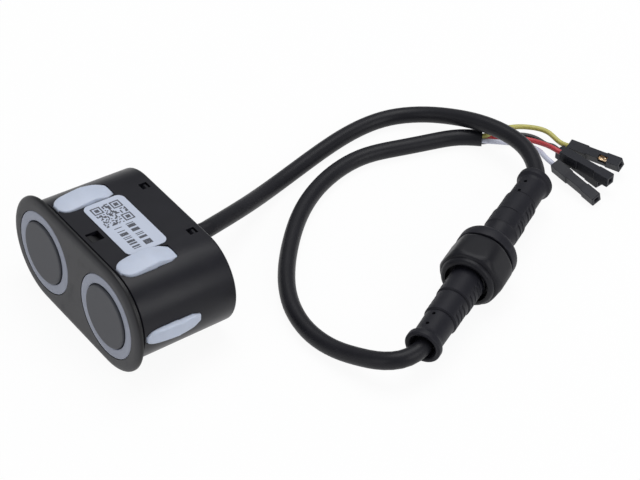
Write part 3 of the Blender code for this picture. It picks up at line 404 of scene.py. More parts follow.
@dataclass(frozen=True)
class BoardMask(Finish):
    """Solder mask over copper tracks on a pitch."""

    colour: Colour
    pitch: float = 1.27 * MM
    pad: Colour = (0.62, 0.6, 0.55)
    track_half: float = 0.16
    pad_reach: float = 0.05

    def build(self, nodes: Nodes) -> None:
        """Tracks as raised, lighter lines, with pads where they cross."""
        across, up = nodes.axis("X") / self.pitch, nodes.axis("Z") / self.pitch
        lanes = [abs(value - (value + 0.5).floor()) for value in (across, up)]
        gate = nodes.make("ShaderNodeTexWhiteNoise", {"noise_dimensions": "1D"}, {"W": (up + 0.5).floor()})
        tracks = (lanes[1] < self.track_half) * (gate > 0.35)
        pads = ((lanes[0] * lanes[0] + lanes[1] * lanes[1]) < self.pad_reach) * (gate > 0.6)
        colour = nodes.mix(tracks, self.colour, tint(self.colour, 1.7))
        colour = nodes.mix(pads, colour, self.pad)
        nodes.dress(Base_Color=colour, Roughness=0.35, Metallic=pads * 0.9,
                    Normal=nodes.bump(tracks + pads, 0.03 * MM))


@dataclass(frozen=True)
class PrintedFilm(Finish):
    """A pale film label with a generic mosaic and two rows of plain bars."""

    colour: Colour
    ink: Colour
    corner: Pair = (-7.95 * MM, 8.75 * MM)
    cell: float = 0.34 * MM
    cells: int = 21
    frame_cells: int = 7
    rows: Pair = (12.75 * MM, 9.75 * MM)
    row_height: float = 1.85 * MM
    row_span: Pair = (0.0, 8.6 * MM)
    bar: float = 0.25 * MM
    inked: float = 0.5

    def mosaic(self, nodes: Nodes, x: Signal, y: Signal) -> Signal:
        """Random cells with a framed square in three corners."""
        across, along = (x - self.corner[0]) / self.cell, (y - self.corner[1]) / self.cell
        ink = across.between(0.0, self.cells) * along.between(0.0, self.cells)
        ink = ink * (nodes.chance(across.floor(), along.floor()) > self.inked)
        middle = self.frame_cells / 2
        for right, up in ((0, 0), (0, 1), (1, 1)):
            from_x = abs(across - (middle + right * (self.cells - self.frame_cells)))
            from_y = abs(along - (middle + up * (self.cells - self.frame_cells)))
            reach = from_x.larger(from_y)
            ink = ink * (reach > middle + 1.0) + reach.between(middle - 1.0, middle)
            ink = ink + (reach < middle - 2.0)
        return ink

    def build(self, nodes: Nodes) -> None:
        """Ink where the mosaic or the bars are, on a film with a soft crease."""
        x, y = nodes.axis("X"), nodes.axis("Y")
        ink = self.mosaic(nodes, x, y)
        start, end = self.row_span
        for base in self.rows:
            band = x.between(start, end) * y.between(base, base + self.row_height)
            lane = (x - start) / self.bar
            ink = ink + band * (nodes.chance(lane.floor(), float(math.floor(base / MM))) > self.inked)
        bleed = nodes.noise(0.12 * MM, 2.0).step(0.2, 0.45)
        fibre = nodes.noise(1.5 * MM, 3.0)
        film = nodes.mix(fibre, tint(self.colour, 0.96), tint(self.colour, 1.03))
        nodes.dress(Base_Color=nodes.mix(ink * bleed * 0.93, film, self.ink), Roughness=0.42 + fibre * 0.12,
                    Normal=nodes.bump(nodes.noise(2.6 * MM, 1.0), 0.015 * MM))


@dataclass(frozen=True)
class StudioWhite(Finish):
    """A white floor that still takes a soft shadow."""

    glow: float = 0.93

    def build(self, nodes: Nodes) -> None:
        """Plain white paint, and its own white as seen directly or in a reflection."""
        nodes.dress(Base_Color=(0.9, 0.9, 0.9), Roughness=0.9)
        path = nodes.make("ShaderNodeLightPath", {}, {}, "Is Camera Ray")
        glossy = Signal(nodes, path.socket.node.outputs["Is Glossy Ray"])
        through = Signal(nodes, path.socket.node.outputs["Is Transmission Ray"])
        glow = nodes.make("ShaderNodeEmission", {}, {"Color": (1.0, 1.0, 1.0), "Strength": 1.0})
        base = Signal(nodes, nodes.shader.outputs[0])
        factor = (path + glossy + through) * self.glow
        mixed = nodes.make("ShaderNodeMixShader", {}, {0: factor, 1: base, 2: glow})
        output = nodes.tree.nodes["Material Output"]
        nodes.tree.links.new(mixed.socket, output.inputs["Surface"])


class Looks:
    """The finishes of this sensor."""

    # The bezel's surfaces turned away from the front get painted shade at 0.3 of its colour (edge).
    BEZEL = MouldedPlastic("bezel_plastic", (0.025, 0.025, 0.029), 0.5, 0.005 * MM, 0.16 * MM, gloss=0.34,
                           edge=0.3)
    SHELL = MouldedPlastic("shell_plastic", (0.0075, 0.0075, 0.0112), 0.36, 0.003 * MM, 0.22 * MM, gloss=0.26)
    NUT = MouldedPlastic("nut_plastic", (0.0085, 0.0085, 0.0115), 0.42, 0.006 * MM, 0.2 * MM, gloss=0.2)
    INSERT = MouldedPlastic("insert_plastic", (0.012, 0.012, 0.015), 0.35)
    CRIMP = MouldedPlastic("crimp_plastic", (0.013, 0.014, 0.0195), 0.45, 0.004 * MM, 0.1 * MM)
    RING = Silicone("ring_silicone", (0.26, 0.28, 0.345), 0.5, 0.12)
    PAD = Silicone("pad_silicone", (0.49, 0.54, 0.65), 0.5, 0.25)
    SEAL = Silicone("seal_silicone", (0.30, 0.10, 0.05), 0.4, 0.1)
    BOOT = Rubber("boot_rubber", (0.0095, 0.0095, 0.014), 0.5, (1.0, 1.0, 0.3))
    CABLE = Rubber("cable_jacket", (0.009, 0.009, 0.012), 0.42, (1.0, 0.5, 1.0), 0.01 * MM)
    CAN = AnodisedFace("can_face", (0.045, 0.047, 0.056))
    LABEL = PrintedFilm("label_film", (0.485, 0.53, 0.635), (0.014, 0.014, 0.022))
    GOLD = PlatedMetal("gold_plate", (0.74, 0.55, 0.36), (0.30, 0.20, 0.12))
    TIN = PlatedMetal("drawn_aluminium", (0.66, 0.67, 0.69), (0.48, 0.48, 0.50), 0.35)
    FELT = Fibre("damping_felt", (0.30, 0.29, 0.27))
    CERAMIC = MouldedPlastic("piezo_ceramic", (0.52, 0.47, 0.38), 0.6)
    BOARD = BoardMask("board_mask", (0.015, 0.12, 0.05))
    CHIP = MouldedPlastic("chip_resin", (0.018, 0.018, 0.019), 0.55, 0.006 * MM, 0.08 * MM)
    TAPE = Insulation("winding_tape", (0.62, 0.42, 0.06))
    FLOOR = StudioWhite("studio_white")


# --- forms ------------------------------------------------------------------------------------------
def skin(name: str, rings: Sequence[Ring], closed: bool = False) -> Piece:
    """Joins rings of equally many points into a solid.

    Args:
        name: the piece's name.
        rings: its cross-sections in order; a ring of one point is a tip.
        closed: whether the last ring joins the first instead of both being capped.

    Returns:
        The piece.
    """
    mesh = bpy.data.meshes.new(name)
    shape = bmesh.new()
    rows = [[shape.verts.new(point) for point in ring] for ring in rings]
    pairs = list(zip(rows, rows[1:] + rows[:1])) if closed else list(zip(rows, rows[1:]))
    for near, far in pairs:
        count = max(len(near), len(far))
        for index in range(count):
            after = (index + 1) % count
            corners = ((near, index), (near, after), (far, after), (far, index))
            unique = list(dict.fromkeys(row[corner % len(row)] for row, corner in corners))
            if len(unique) > 2:
                shape.faces.new(unique)
    if not closed:
        for row in (rows[0], rows[-1]):
            if len(row) > 2:
                shape.faces.new(row)
    bmesh.ops.recalc_face_normals(shape, faces=shape.faces)
    shape.to_mesh(mesh)
    shape.free()
    made = bpy.data.objects.new(name, mesh)
    bpy.context.scene.collection.objects.link(made)
    return made


def even_angles(sides: int) -> list[float]:
    """Even angles round one turn."""
    return [2 * math.pi * index / sides for index in range(sides)]


def circle(radius: float, station: float, sides: int = 96, centre: Pair = (0.0, 0.0)) -> Ring:
    """A ring round Z, or one point where the radius is nought."""
    x, y = centre
    angles = even_angles(sides) if radius else [0.0]
    return [Vector((x + radius * math.cos(a), y + radius * math.sin(a), station)) for a in angles]


def circle_x(along: float, radius: float, sides: int = 24) -> Ring:
    """A ring round X."""
    return [Vector((along, radius * math.cos(a), radius * math.sin(a))) for a in even_angles(sides)]


def shaped(radius_at: Callable[[float], float], station: float, sides: int) -> Ring:
    """A ring round Z whose radius depends on the angle.

    Args:
        radius_at: the radius at an angle.
        station: its place on Z.
        sides: how many points it has.

    Returns:
        The ring.
    """
    reaches = [(angle, radius_at(angle)) for angle in even_angles(sides)]
    return [Vector((reach * math.cos(a), reach * math.sin(a), station)) for a, reach in reaches]


def racetrack(half_straight: float, radius: float, depth: float, steps: int = 48) -> Ring:
    """A ring of two half circles and two straights at one depth of the head."""
    ring = []
    for side, first in ((1, -math.pi / 2), (-1, math.pi / 2)):
        for index in range(steps + 1):
            angle = first + math.pi * index / steps
            across = side * half_straight + radius * math.cos(angle)
            ring.append(Vector((across, depth, radius * math.sin(angle))))
    return ring


def arc(centre: Pair, radius: Pair, start: float, end: float, steps: int) -> list[Pair]:
    """Points of an arc or a quarter of an ellipse, angles in degrees."""
    angles = [math.radians(start + (end - start) * index / steps) for index in range(steps + 1)]
    return [(centre[0] + radius[0] * math.cos(a), centre[1] + radius[1] * math.sin(a)) for a in angles]


def rounded(points: Sequence[Pair], radius: float, steps: int = 3) -> list[Pair]:
    """Rounds the inner corners of a run of points.

    Args:
        points: the run's corners.
        radius: how far from each corner the rounding starts.
        steps: segments of each rounding.

    Returns:
        The new run.
    """
    result = [points[0]]
    for before, here, after in zip(points, points[1:], points[2:]):
        corner = Vector(here)
        near, far = Vector(before) - corner, Vector(after) - corner
        reach = min(radius, near.length * 0.45, far.length * 0.45)
        start, end = corner + near.normalized() * reach, corner + far.normalized() * reach
        for index in range(steps + 1):
            t = index / steps
            point = start * (1 - t) ** 2 + corner * 2 * t * (1 - t) + end * t ** 2
            result.append((point.x, point.y))
    return result + [points[-1]]


def turned(name: str, profile: Sequence[Pair], sides: int = 96, closed: bool = False) -> Piece:
    """A solid of revolution round Z from (radius, station) pairs."""
    return skin(name, [circle(radius, station, sides) for radius, station in profile], closed)


def block(name: str, low: Sequence[float], high: Sequence[float]) -> Piece:
    """A squared block between two corners, made from two rings."""
    plan = ((low[0], low[1]), (high[0], low[1]), (high[0], high[1]), (low[0], high[1]))
    return skin(name, [[Vector((x, y, z)) for x, y in plan] for z in (low[2], high[2])])


def moved(piece: Piece, matrix: Matrix) -> Piece:
    """Moves a piece's mesh in its own frame."""
    piece.data.transform(matrix)
    if matrix.determinant() < 0:
        piece.data.flip_normals()
    return piece


def into_depth(piece: Piece, across: float = 0.0) -> Piece:
    """Turns a piece drawn along Z so that it runs into the head at a place along X."""
    return moved(piece, Matrix.Translation((across, 0.0, 0.0)) @ Matrix.Rotation(math.radians(-90), 4, "X"))


class Blend(Enum):
    """How tools act on a piece."""

    CUT = "DIFFERENCE"
    JOIN = "UNION"


def worked(base: Piece, tools: Iterable[Piece], how: Blend) -> Piece:
    """Cuts tools from a piece or joins them to it, and removes the tools."""
    tools = list(tools)
    for tool in tools:
        modifier = base.modifiers.new(how.name, "BOOLEAN")
        modifier.operation = how.value
        modifier.solver = "EXACT"
        modifier.object = tool
    bpy.context.view_layer.update()
    mesh = bpy.data.meshes.new_from_object(base.evaluated_get(bpy.context.evaluated_depsgraph_get()))
    base.modifiers.clear()
    base.data = mesh
    for tool in tools:
        bpy.data.objects.remove(tool)
    return base


def softened(piece: Piece, width: float) -> Piece:
    """Rounds a piece's sharp edges."""
    bevel = piece.modifiers.new("edges", "BEVEL")
    bevel.width = width
    bevel.segments = 2
    bevel.limit_method = "ANGLE"
    bevel.angle_limit = SOFT_ANGLE
    bevel.harden_normals = True
    bevel.miter_outer = "MITER_ARC"
    return piece


def paint(piece: Piece, finish: Finish) -> None:
    """Gives a piece one finish."""
    piece.data.materials.clear()
    piece.data.materials.append(finish.material())
    LOG.info("%s: %s", piece.name, finish.name)


def settle(piece: Piece, place: Matrix, body: Body, finish: Finish, node: str) -> None:
    """Puts a piece in its place, dresses it and hides the CAD node that it stands for.

    Args:
        piece: the piece.
        place: its frame.
        body: the body that it moves with.
        finish: its finish.
        node: the CAD node that it stands for.
    """
    piece.data.name = piece.name
    paint(piece, finish)
    if isinstance(piece.data, bpy.types.Mesh):
        piece.data.shade_smooth()
        piece.data.set_sharp_from_angle(angle=SHARP_ANGLE)
    piece.matrix_world = place
    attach(piece, body.value)
    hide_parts(node)


def smooth_curve(points: Sequence[Sequence[float]], spacing: float) -> list[Vector]:
    """Points at an even spacing on a natural cubic spline.

    Args:
        points: the route's own points.
        spacing: about how far apart the new points are.

    Returns:
        The new points, with the route's first and last.
    """
    route = np.array([tuple(point) for point in points])
    knots = np.concatenate(([0.0], np.cumsum(np.linalg.norm(np.diff(route, axis=0), axis=1))))
    count = len(route)
    gaps = np.diff(knots)
    system = np.eye(count)
    right = np.zeros((count, 3))
    for index in range(1, count - 1):
        before, after = gaps[index - 1], gaps[index]
        system[index, index - 1:index + 2] = (before, 2 * (before + after), after)
        slopes = (route[index + 1] - route[index]) / after - (route[index] - route[index - 1]) / before
        right[index] = 6 * slopes
    bend = np.linalg.solve(system, right)
    result = []
    for value in np.linspace(0.0, knots[-1], max(2, round(knots[-1] / spacing)) + 1):
        index = min(np.searchsorted(knots, value, side="right") - 1, count - 2)
        gap = gaps[index]
        far, near = (value - knots[index]) / gap, (knots[index + 1] - value) / gap
        curve = near * route[index] + far * route[index + 1]
        curve += ((near ** 3 - near) * bend[index] + (far ** 3 - far) * bend[index + 1]) * gap * gap / 6
        result.append(Vector(curve))
    return result


def on_bench(points: Iterable[Sequence[float]]) -> list[Vector]:
    """Bench points in millimetres as points of the row's frame in metres."""
    return [Vector(point) * MM - Vector((0.0, BENCH_SHIFT, 0.0)) for point in points]


# --- the head ---------------------------------------------------------------------------------------
@dataclass
class HeadSizes:
    """Sizes that the head's pieces share, in its own frame."""

    half_pitch: float = 12.25 * MM
    flange_radius: float = 12.7 * MM
    flange_depth: float = 1.25 * MM
    flange_round: Pair = (2.0 * MM, 0.95 * MM)
    collar_end: float = 2.45 * MM
    body_start: float = 2.6 * MM
    body_end: float = 26.1 * MM
    body_radius: float = 10.8 * MM
    body_taper: float = 0.27 * MM
    wall: float = 1.3 * MM
    can_radius: float = 7.2 * MM
    can_proud: float = 0.4 * MM
    ring_radius: float = 9.6 * MM
    ring_depth: float = 1.5 * MM
    sleeve_wall: float = 0.85 * MM
    fit: float = 0.15 * MM
    front_window: Triple = (3.0 * MM, 3.6 * MM, 6.7 * MM)
    rear_window: Triple = (2.0 * MM, 22.5 * MM, 24.5 * MM)
    rear_spacing: float = 18.2 * MM
    cover_thickness: float = 1.4 * MM
    hook_drop: float = 0.35 * MM
    hook_share: float = 0.35
    tongue_thickness: float = 0.9 * MM
    tongue_root: float = 0.45 * MM
    tongue_tip: float = 0.3 * MM

    def outer(self, depth: float) -> float:
        """The housing's outer radius at a depth."""
        length = self.body_end - self.body_start
        return self.body_radius - self.body_taper * (depth - self.body_start) / length

    def inner(self, depth: float) -> float:
        """The housing's inner radius at a depth."""
        return self.outer(depth) - self.wall

    def tongue(self, across: float, width: float, root: float, tip: float, window: Pair, up: int) -> Piece:
        """A snap tongue under the wall, with a hook that stands in its window.

        Args:
            across: its middle along X.
            width: its width.
            root: depth where it grows out of its carrier.
            tip: depth of its free end.
            window: depths where its window starts and ends.
            up: 1 on the head's top, -1 underneath.

        Returns:
            The tongue, to be joined to its carrier.
        """
        outward = self.inner((root + tip) / 2) - self.fit
        top = self.outer(window[0]) - self.hook_drop
        toward = 1 if tip > root else -1
        steep, shallow = window if toward > 0 else window[::-1]
        steep += toward * 2 * self.fit
        shallow -= toward * 2 * self.fit
        under = outward - self.tongue_thickness
        crown = steep + (shallow - steep) * self.hook_share
        outline = [(root, under), (root, outward), (steep, outward), (steep, top), (crown, top),
                   (shallow, outward), (tip, outward), (tip, under)]
        ends = (across - width / 2, across + width / 2)
        tongue = skin("tongue", [[Vector((x, y, z)) for y, z in outline] for x in ends])
        return moved(tongue, Matrix.Diagonal((1.0, 1.0, up, 1.0)))


class PadPlace(Enum):
    """Where a grip pad stands on a round end, with its half width and how far its tail sinks, in mm."""

    TOP = ("top", 2.7, 1.5)
    BOTTOM = ("bottom", 2.7, 1.5)
    SIDE = ("side", 1.68, 0.95)


@dataclass
class GripPad:
    """One silicone grip pad, drawn with X across it, Y into the head and Z outward."""

    sizes: HeadSizes
    side: int
    where: PadPlace
    start: float = 3.05 * MM
    nose: float = 3.9 * MM
    blunt: float = 0.4
    crest: float = 11.95 * MM
    crest_end: float = 11.0 * MM
    step: float = 0.13 * MM
    tail_start: float = 14.6 * MM
    end: float = 16.5 * MM
    nose_drop: float = 0.9 * MM
    narrowing: float = 0.8 * MM
    shoulder: float = 0.34 * MM
    lead_in: Pair = (0.3 * MM, 0.28 * MM)
    clearance: float = 0.13 * MM
    foot_wide: float = 0.4 * MM
    foot_thick: float = 0.3 * MM
    foot_lap: float = 0.1 * MM

    @property
    def half(self) -> float:
        """Half the pad's width at its crest."""
        return self.where.value[1] * MM

    def place(self) -> Matrix:
        """The pad's frame on its transducer's axis."""
        sideways = 0.0 if self.side > 0 else math.pi
        angles = {PadPlace.TOP: math.pi / 2, PadPlace.BOTTOM: -math.pi / 2, PadPlace.SIDE: sideways}
        return (Matrix.Translation((self.side * self.sizes.half_pitch, 0.0, 0.0))
                @ Matrix.Rotation(math.pi / 2 - angles[self.where], 4, "Y"))

    def half_width(self, depth: float) -> float:
        """Half the pad's width at a depth: blunt round nose, full crest, stepped and narrowing tail."""
        if depth < self.start + self.nose:
            off = (self.start + self.nose - depth) / self.nose
            return self.half * max(self.blunt, math.sqrt(max(0.0, 1.0 - off ** 3)))
        if depth <= self.crest_end:
            return self.half
        narrow = max(0.0, (depth - self.tail_start) / (self.end - self.tail_start))
        return self.half - self.step - (self.narrowing - self.step) * narrow

    def height(self, depth: float) -> float:
        """The pad's outer face at a depth."""
        if depth <= self.crest_end:
            share = (self.crest_end - depth) / (self.crest_end - self.start)
            length, drop = self.lead_in
            edge = max(0.0, 1.0 - (depth - self.start) / length)
            return self.crest - self.nose_drop * share ** 1.5 - drop * edge * edge
        share = (depth - self.crest_end) / (self.end - self.crest_end)
        return self.crest - self.where.value[2] * MM * share ** 1.5

    def depths(self) -> list[float]:
        """Depths of the pad's cross-sections."""
        nose = [self.start + step * MM for step in (0.0, 0.05, 0.12, 0.2, 0.3)]
        nose += [self.start + self.nose * share for share in (0.12, 0.18, 0.26, 0.36, 0.5, 0.7, 1.0)]
        crest = [self.crest_end - 2.0 * MM, self.crest_end - MM, self.crest_end - 0.02 * MM]
        crest += [self.crest_end + step * MM for step in (0.1, 0.9, 1.8, 2.7)]
        tail = [self.tail_start + (self.end - self.tail_start) * share for share in (0.0, 0.35, 0.7, 1.0)]
        return nose + crest + tail

    def section(self, depth: float, grow: float, low: float, high: float) -> Ring:
        """A cross-section between two heights, whose face follows the round end, with rounded shoulders."""
        half = self.half_width(depth) + grow
        radius = min(self.shoulder, half * 0.5)
        edge = math.sqrt(high ** 2 - (half - radius) ** 2)
        right = arc((half - radius, edge - radius), (radius, radius), 0, 90, 4)
        for share in (0.7, 0.4, 0.15):
            across = (half - radius) * share
            right.append((across, math.sqrt(high ** 2 - across ** 2)))
        left = [(-x, z) for x, z in reversed(right)]
        return [Vector((x, depth, z)) for x, z in [(-half, low), (half, low)] + right + left]

    def slot(self) -> Piece:
        """The opening that the housing has round the pad."""
        grow = self.clearance
        low, high = self.sizes.inner(self.end) - self.sizes.wall, self.crest + self.sizes.wall
        depths = self.depths()
        depths[0] -= grow
        depths[-1] += grow
        cutter = skin("slot", [self.section(depth, grow, low, high) for depth in depths])
        return moved(cutter, self.place())

    def make(self) -> None:
        """Builds the pad over its wider foot."""
        word = "right" if self.side > 0 else "left"
        name = f"{self.where.value[0]}_{word}"
        low = self.sizes.can_radius + 2 * self.sizes.fit + self.sizes.sleeve_wall
        under = low + self.foot_lap
        rings = [self.section(depth, 0.0, under, self.height(depth)) for depth in self.depths()]
        pad = skin(f"pad_{name}", rings)
        wide, thick = self.half + self.foot_wide, self.foot_thick
        foot = block("foot", (-wide, self.start + thick, low), (wide, self.end + thick, low + thick))
        worked(pad, [foot], Blend.JOIN)
        moved(pad, self.place())
        settle(pad, head_place(), Body.SENSOR, Looks.PAD, f"grip_pad_{name}")


@dataclass
class Transducer:
    """One sealed transducer behind its silicone ring."""

    sizes: HeadSizes
    side: int
    word: str
    edge: float = 0.35 * MM
    flat_margin: float = 0.8 * MM
    dish: Pair = (0.03 * MM, 0.02 * MM)
    wall: float = 0.6 * MM
    length: float = 9.0 * MM
    sleeve_length: float = 10.5 * MM
    bore_round: Pair = (0.3 * MM, 0.35 * MM)
    ring_round: Pair = (0.22 * MM, 0.22 * MM)
    sides: int = 128

    def put(self, piece: Piece, finish: Finish, node: str) -> None:
        """Puts a piece drawn along Z on this transducer's axis."""
        into_depth(piece, self.side * self.sizes.half_pitch)
        settle(piece, head_place(), Body.SENSOR, finish, node)

    def can(self) -> None:
        """The can: a shallow dished face with a rounded edge, and a thin wall behind it."""
        radius, face = self.sizes.can_radius, -self.sizes.can_proud
        inside = radius - self.wall
        centre, middle = self.dish
        profile = [(0.0, face + centre), (radius * 0.5, face + middle), (radius - self.flat_margin, face)]
        profile += arc((radius - self.edge, face + self.edge), (self.edge, self.edge), -90, 0, 5)
        profile += [(radius, face + self.length), (inside, face + self.length), (inside, face + self.wall),
                    (0.0, face + self.wall)]
        self.put(turned(f"can_{self.word}", profile, self.sides), Looks.CAN, f"transducer_can_{self.word}")

    def sleeve(self) -> None:
        """The silicone sleeve with its broad front ring, rounded at both edges."""
        bore = self.sizes.can_radius + self.sizes.fit
        outer, depth = self.sizes.ring_radius, self.sizes.ring_depth
        wall = bore + self.sizes.sleeve_wall
        profile = [(bore, self.sleeve_length)]
        profile += arc((bore + self.bore_round[0], self.bore_round[1]), self.bore_round, 180, 270, 5)
        profile += arc((outer - self.ring_round[0], self.ring_round[1]), self.ring_round, -90, 0, 4)
        profile += [(outer, depth), (wall, depth), (wall, self.sleeve_length)]
        sleeve = turned(f"sleeve_{self.word}", profile, self.sides, closed=True)
        self.put(sleeve, Looks.RING, f"silicone_sleeve_{self.word}")

    def make(self) -> None:
        """Builds the visible pieces and dresses the ones behind them."""
        self.can()
        self.sleeve()
        dress_node(f"piezo_disc_{self.word}", Looks.CERAMIC)
        dress_node(f"damping_plug_{self.word}", Looks.FELT)


def dress_node(name: str, finish: Finish) -> None:
    """Gives a CAD node that stays in view its finish."""
    paint(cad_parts[name], finish)


@dataclass
class Grommet:
    """The rubber grommet round the sensor's cable: a crown outside and a flange behind the cover."""

    sizes: HeadSizes
    bore: float = 1.9 * MM
    crown: float = 2.45 * MM
    flange: float = 3.5 * MM
    waist: float = 2.6 * MM
    crown_height: float = 1.5 * MM
    flange_height: float = 0.9 * MM
    gap: float = 0.15 * MM
    inner_height: float = 0.75 * MM
    rounding: float = 0.25 * MM

    def make(self) -> None:
        """Builds the grommet."""
        front, out = self.sizes.body_end - self.sizes.cover_thickness, self.sizes.body_end + self.sizes.fit
        top, bottom = out + self.crown_height, front - self.inner_height
        inner = front - self.gap
        run = [(self.bore, top), (self.crown, top), (self.flange, out + self.flange_height),
               (self.flange, out), (self.waist, out), (self.waist, inner), (self.flange, inner),
               (self.flange, bottom), (self.bore, bottom)]
        grommet = turned("grommet", [(0.0, top)] + rounded(run, self.rounding) + [(0.0, bottom)], 64)
        settle(into_depth(grommet), head_place(), Body.SENSOR, Looks.BOOT, "cable_grommet")


@dataclass
class Label:
    """The thin label with rounded corners, which lies on the flat top."""

    sizes: HeadSizes
    middle: float = 12.6 * MM
    half: Pair = (9.35 * MM, 5.0 * MM)
    corner: float = 1.6 * MM
    lifts: Pair = (0.03 * MM, 0.15 * MM)

    def make(self) -> None:
        """Builds the label."""
        plan: list[Pair] = []
        for quarter, (x, y) in enumerate(((1, 1), (-1, 1), (-1, -1), (1, -1))):
            centre = (x * (self.half[0] - self.corner), self.middle + y * (self.half[1] - self.corner))
            plan += arc(centre, (self.corner, self.corner), 90 * quarter, 90 * quarter + 90, 8)
        rings = [[Vector((x, y, self.sizes.outer(y) + lift)) for x, y in plan] for lift in self.lifts]
        settle(skin("label_film", rings), head_place(), Body.SENSOR, Looks.LABEL, "label")


@dataclass
class SensorHead:
    """The head: bezel, housing, cover, pads, label and what they hold."""

    sizes: HeadSizes = field(default_factory=HeadSizes)
    flange_edge: float = 0.12 * MM
    collar_bevel: float = 0.1 * MM
    bore_gap: float = 0.1 * MM
    lead_in: float = 0.16 * MM
    tongue_play: Pair = (0.6 * MM, 0.5 * MM)
    back_edge: float = 0.65 * MM
    bend_depth: float = 13.0 * MM
    post: Triple = (1.2 * MM, 19.5 * MM, 16.0 * MM)
    cable_hole: Pair = (2.75 * MM, 15.0 * MM)
    softness: Triple = (0.07 * MM, 0.09 * MM, 0.12 * MM)

    def pads(self) -> list[GripPad]:
        """The three pads of each round end."""
        return [GripPad(self.sizes, side, where) for side in (-1, 1) for where in PadPlace]

    def moulding(self, name: str, sections: Iterable[Pair]) -> Piece:
        """A racetrack moulding through (radius, depth) sections."""
        return skin(name, [racetrack(self.sizes.half_pitch, radius, depth) for radius, depth in sections])

    def bezel(self) -> None:
        """The front plate: rounded flange, collar, two stepped bores and two snap tongues."""
        s, edge = self.sizes, self.flange_edge
        wide, deep = s.flange_round
        back = s.collar_end
        sections = arc((s.flange_radius - wide, deep), (wide, deep), -90, 0, 12)
        sections += arc((s.flange_radius - edge, s.flange_depth - edge), (edge, edge), 0, 90, 3)
        sections += [(s.body_radius, s.flange_depth), (s.body_radius, back - self.collar_bevel),
                     (s.body_radius - self.collar_bevel, back)]
        plate = self.moulding("bezel_moulding", sections)
        width, start, end = s.front_window
        width, root, tip = width - self.tongue_play[0], back - s.tongue_root, end + s.tongue_tip
        tongues = [s.tongue(0.0, width, root, tip, (start, end), up) for up in (1, -1)]
        worked(plate, tongues, Blend.JOIN)
        seat, sleeve = s.ring_depth + s.fit, s.can_radius + 2 * s.fit + s.sleeve_wall
        ring = s.ring_radius + self.bore_gap
        profile = [(0.0, -MM), (ring, -MM), (ring, seat), (sleeve, seat), (sleeve, back + MM),
                   (0.0, back + MM)]
        bores = [into_depth(turned("bore", profile, 128), side * s.half_pitch) for side in (1, -1)]
        softened(worked(plate, bores, Blend.CUT), self.softness[0])
        settle(plate, head_place(), Body.SENSOR, Looks.BEZEL, "front_bezel")

    def windows(self) -> list[Piece]:
        """Cutters for the snap windows above and below."""
        s = self.sizes
        tools = []
        for across, (width, start, end) in ((0.0, s.front_window), (s.rear_spacing / 2, s.rear_window),
                                            (-s.rear_spacing / 2, s.rear_window)):
            left, right = across - width / 2, across + width / 2
            for up in (1, -1):
                low, high = sorted((up * (s.inner(start) - s.wall), up * (s.body_radius + s.wall)))
                tools.append(block("window", (left, start, low), (right, end, high)))
        return tools

    def housing(self) -> None:
        """The sleeve behind the bezel, with pad slots and snap windows."""
        s, edge, lead = self.sizes, self.back_edge, self.lead_in
        sections = [(s.body_radius - lead, s.body_start), (s.body_radius, s.body_start + lead),
                    (s.outer(self.bend_depth), self.bend_depth)]
        sections += arc((s.outer(s.body_end) - edge, s.body_end - edge), (edge, edge), 0, 90, 6)
        shell = self.moulding("housing_shell", sections)
        hollow = [(s.inner(s.body_start), s.body_start - MM), (s.inner(s.body_end), s.body_end + MM)]
        tools = [self.moulding("hollow", hollow)] + [pad.slot() for pad in self.pads()] + self.windows()
        softened(worked(shell, tools, Blend.CUT), self.softness[1])
        settle(shell, head_place(), Body.SENSOR, Looks.SHELL, "housing")

    def cover(self) -> None:
        """The rear plate with its snap tongues, board posts and the grommet's hole."""
        s = self.sizes
        front, rim = s.body_end - s.cover_thickness, s.inner(s.body_end) - s.fit
        root = front + s.tongue_root
        plate = self.moulding("cover_moulding", [(rim, front), (rim, s.body_end)])
        width, start, end = s.rear_window
        width, tip = width - self.tongue_play[1], start - s.tongue_tip
        tools = [s.tongue(side * s.rear_spacing / 2, width, root, tip, (start, end), up)
                 for side in (1, -1) for up in (1, -1)]
        radius, tip, across = self.post
        for side in (1, -1):
            tools.append(into_depth(turned("post", [(radius, tip), (radius, root)], 32), side * across))
        worked(plate, tools, Blend.JOIN)
        radius, tip = self.cable_hole
        hole = into_depth(turned("hole", [(radius, tip), (radius, s.body_end + MM)], 64))
        softened(worked(plate, [hole], Blend.CUT), self.softness[2])
        settle(plate, head_place(), Body.SENSOR, Looks.SHELL, "rear_cover")

    def make(self) -> None:
        """Builds the whole head."""
        self.bezel()
        self.housing()
        self.cover()
        Grommet(self.sizes).make()
        Label(self.sizes).make()
        for pad in self.pads():
            pad.make()
        for side, word in ((-1, "left"), (1, "right")):
            Transducer(self.sizes, side, word).make()
        for name, finish in (("circuit_board", Looks.BOARD), ("controller_chip", Looks.CHIP),
                             ("amplifier_chip", Looks.CHIP), ("pulse_transformer", Looks.TAPE),
                             ("board_capacitor", Looks.TIN)):
            dress_node(name, finish)


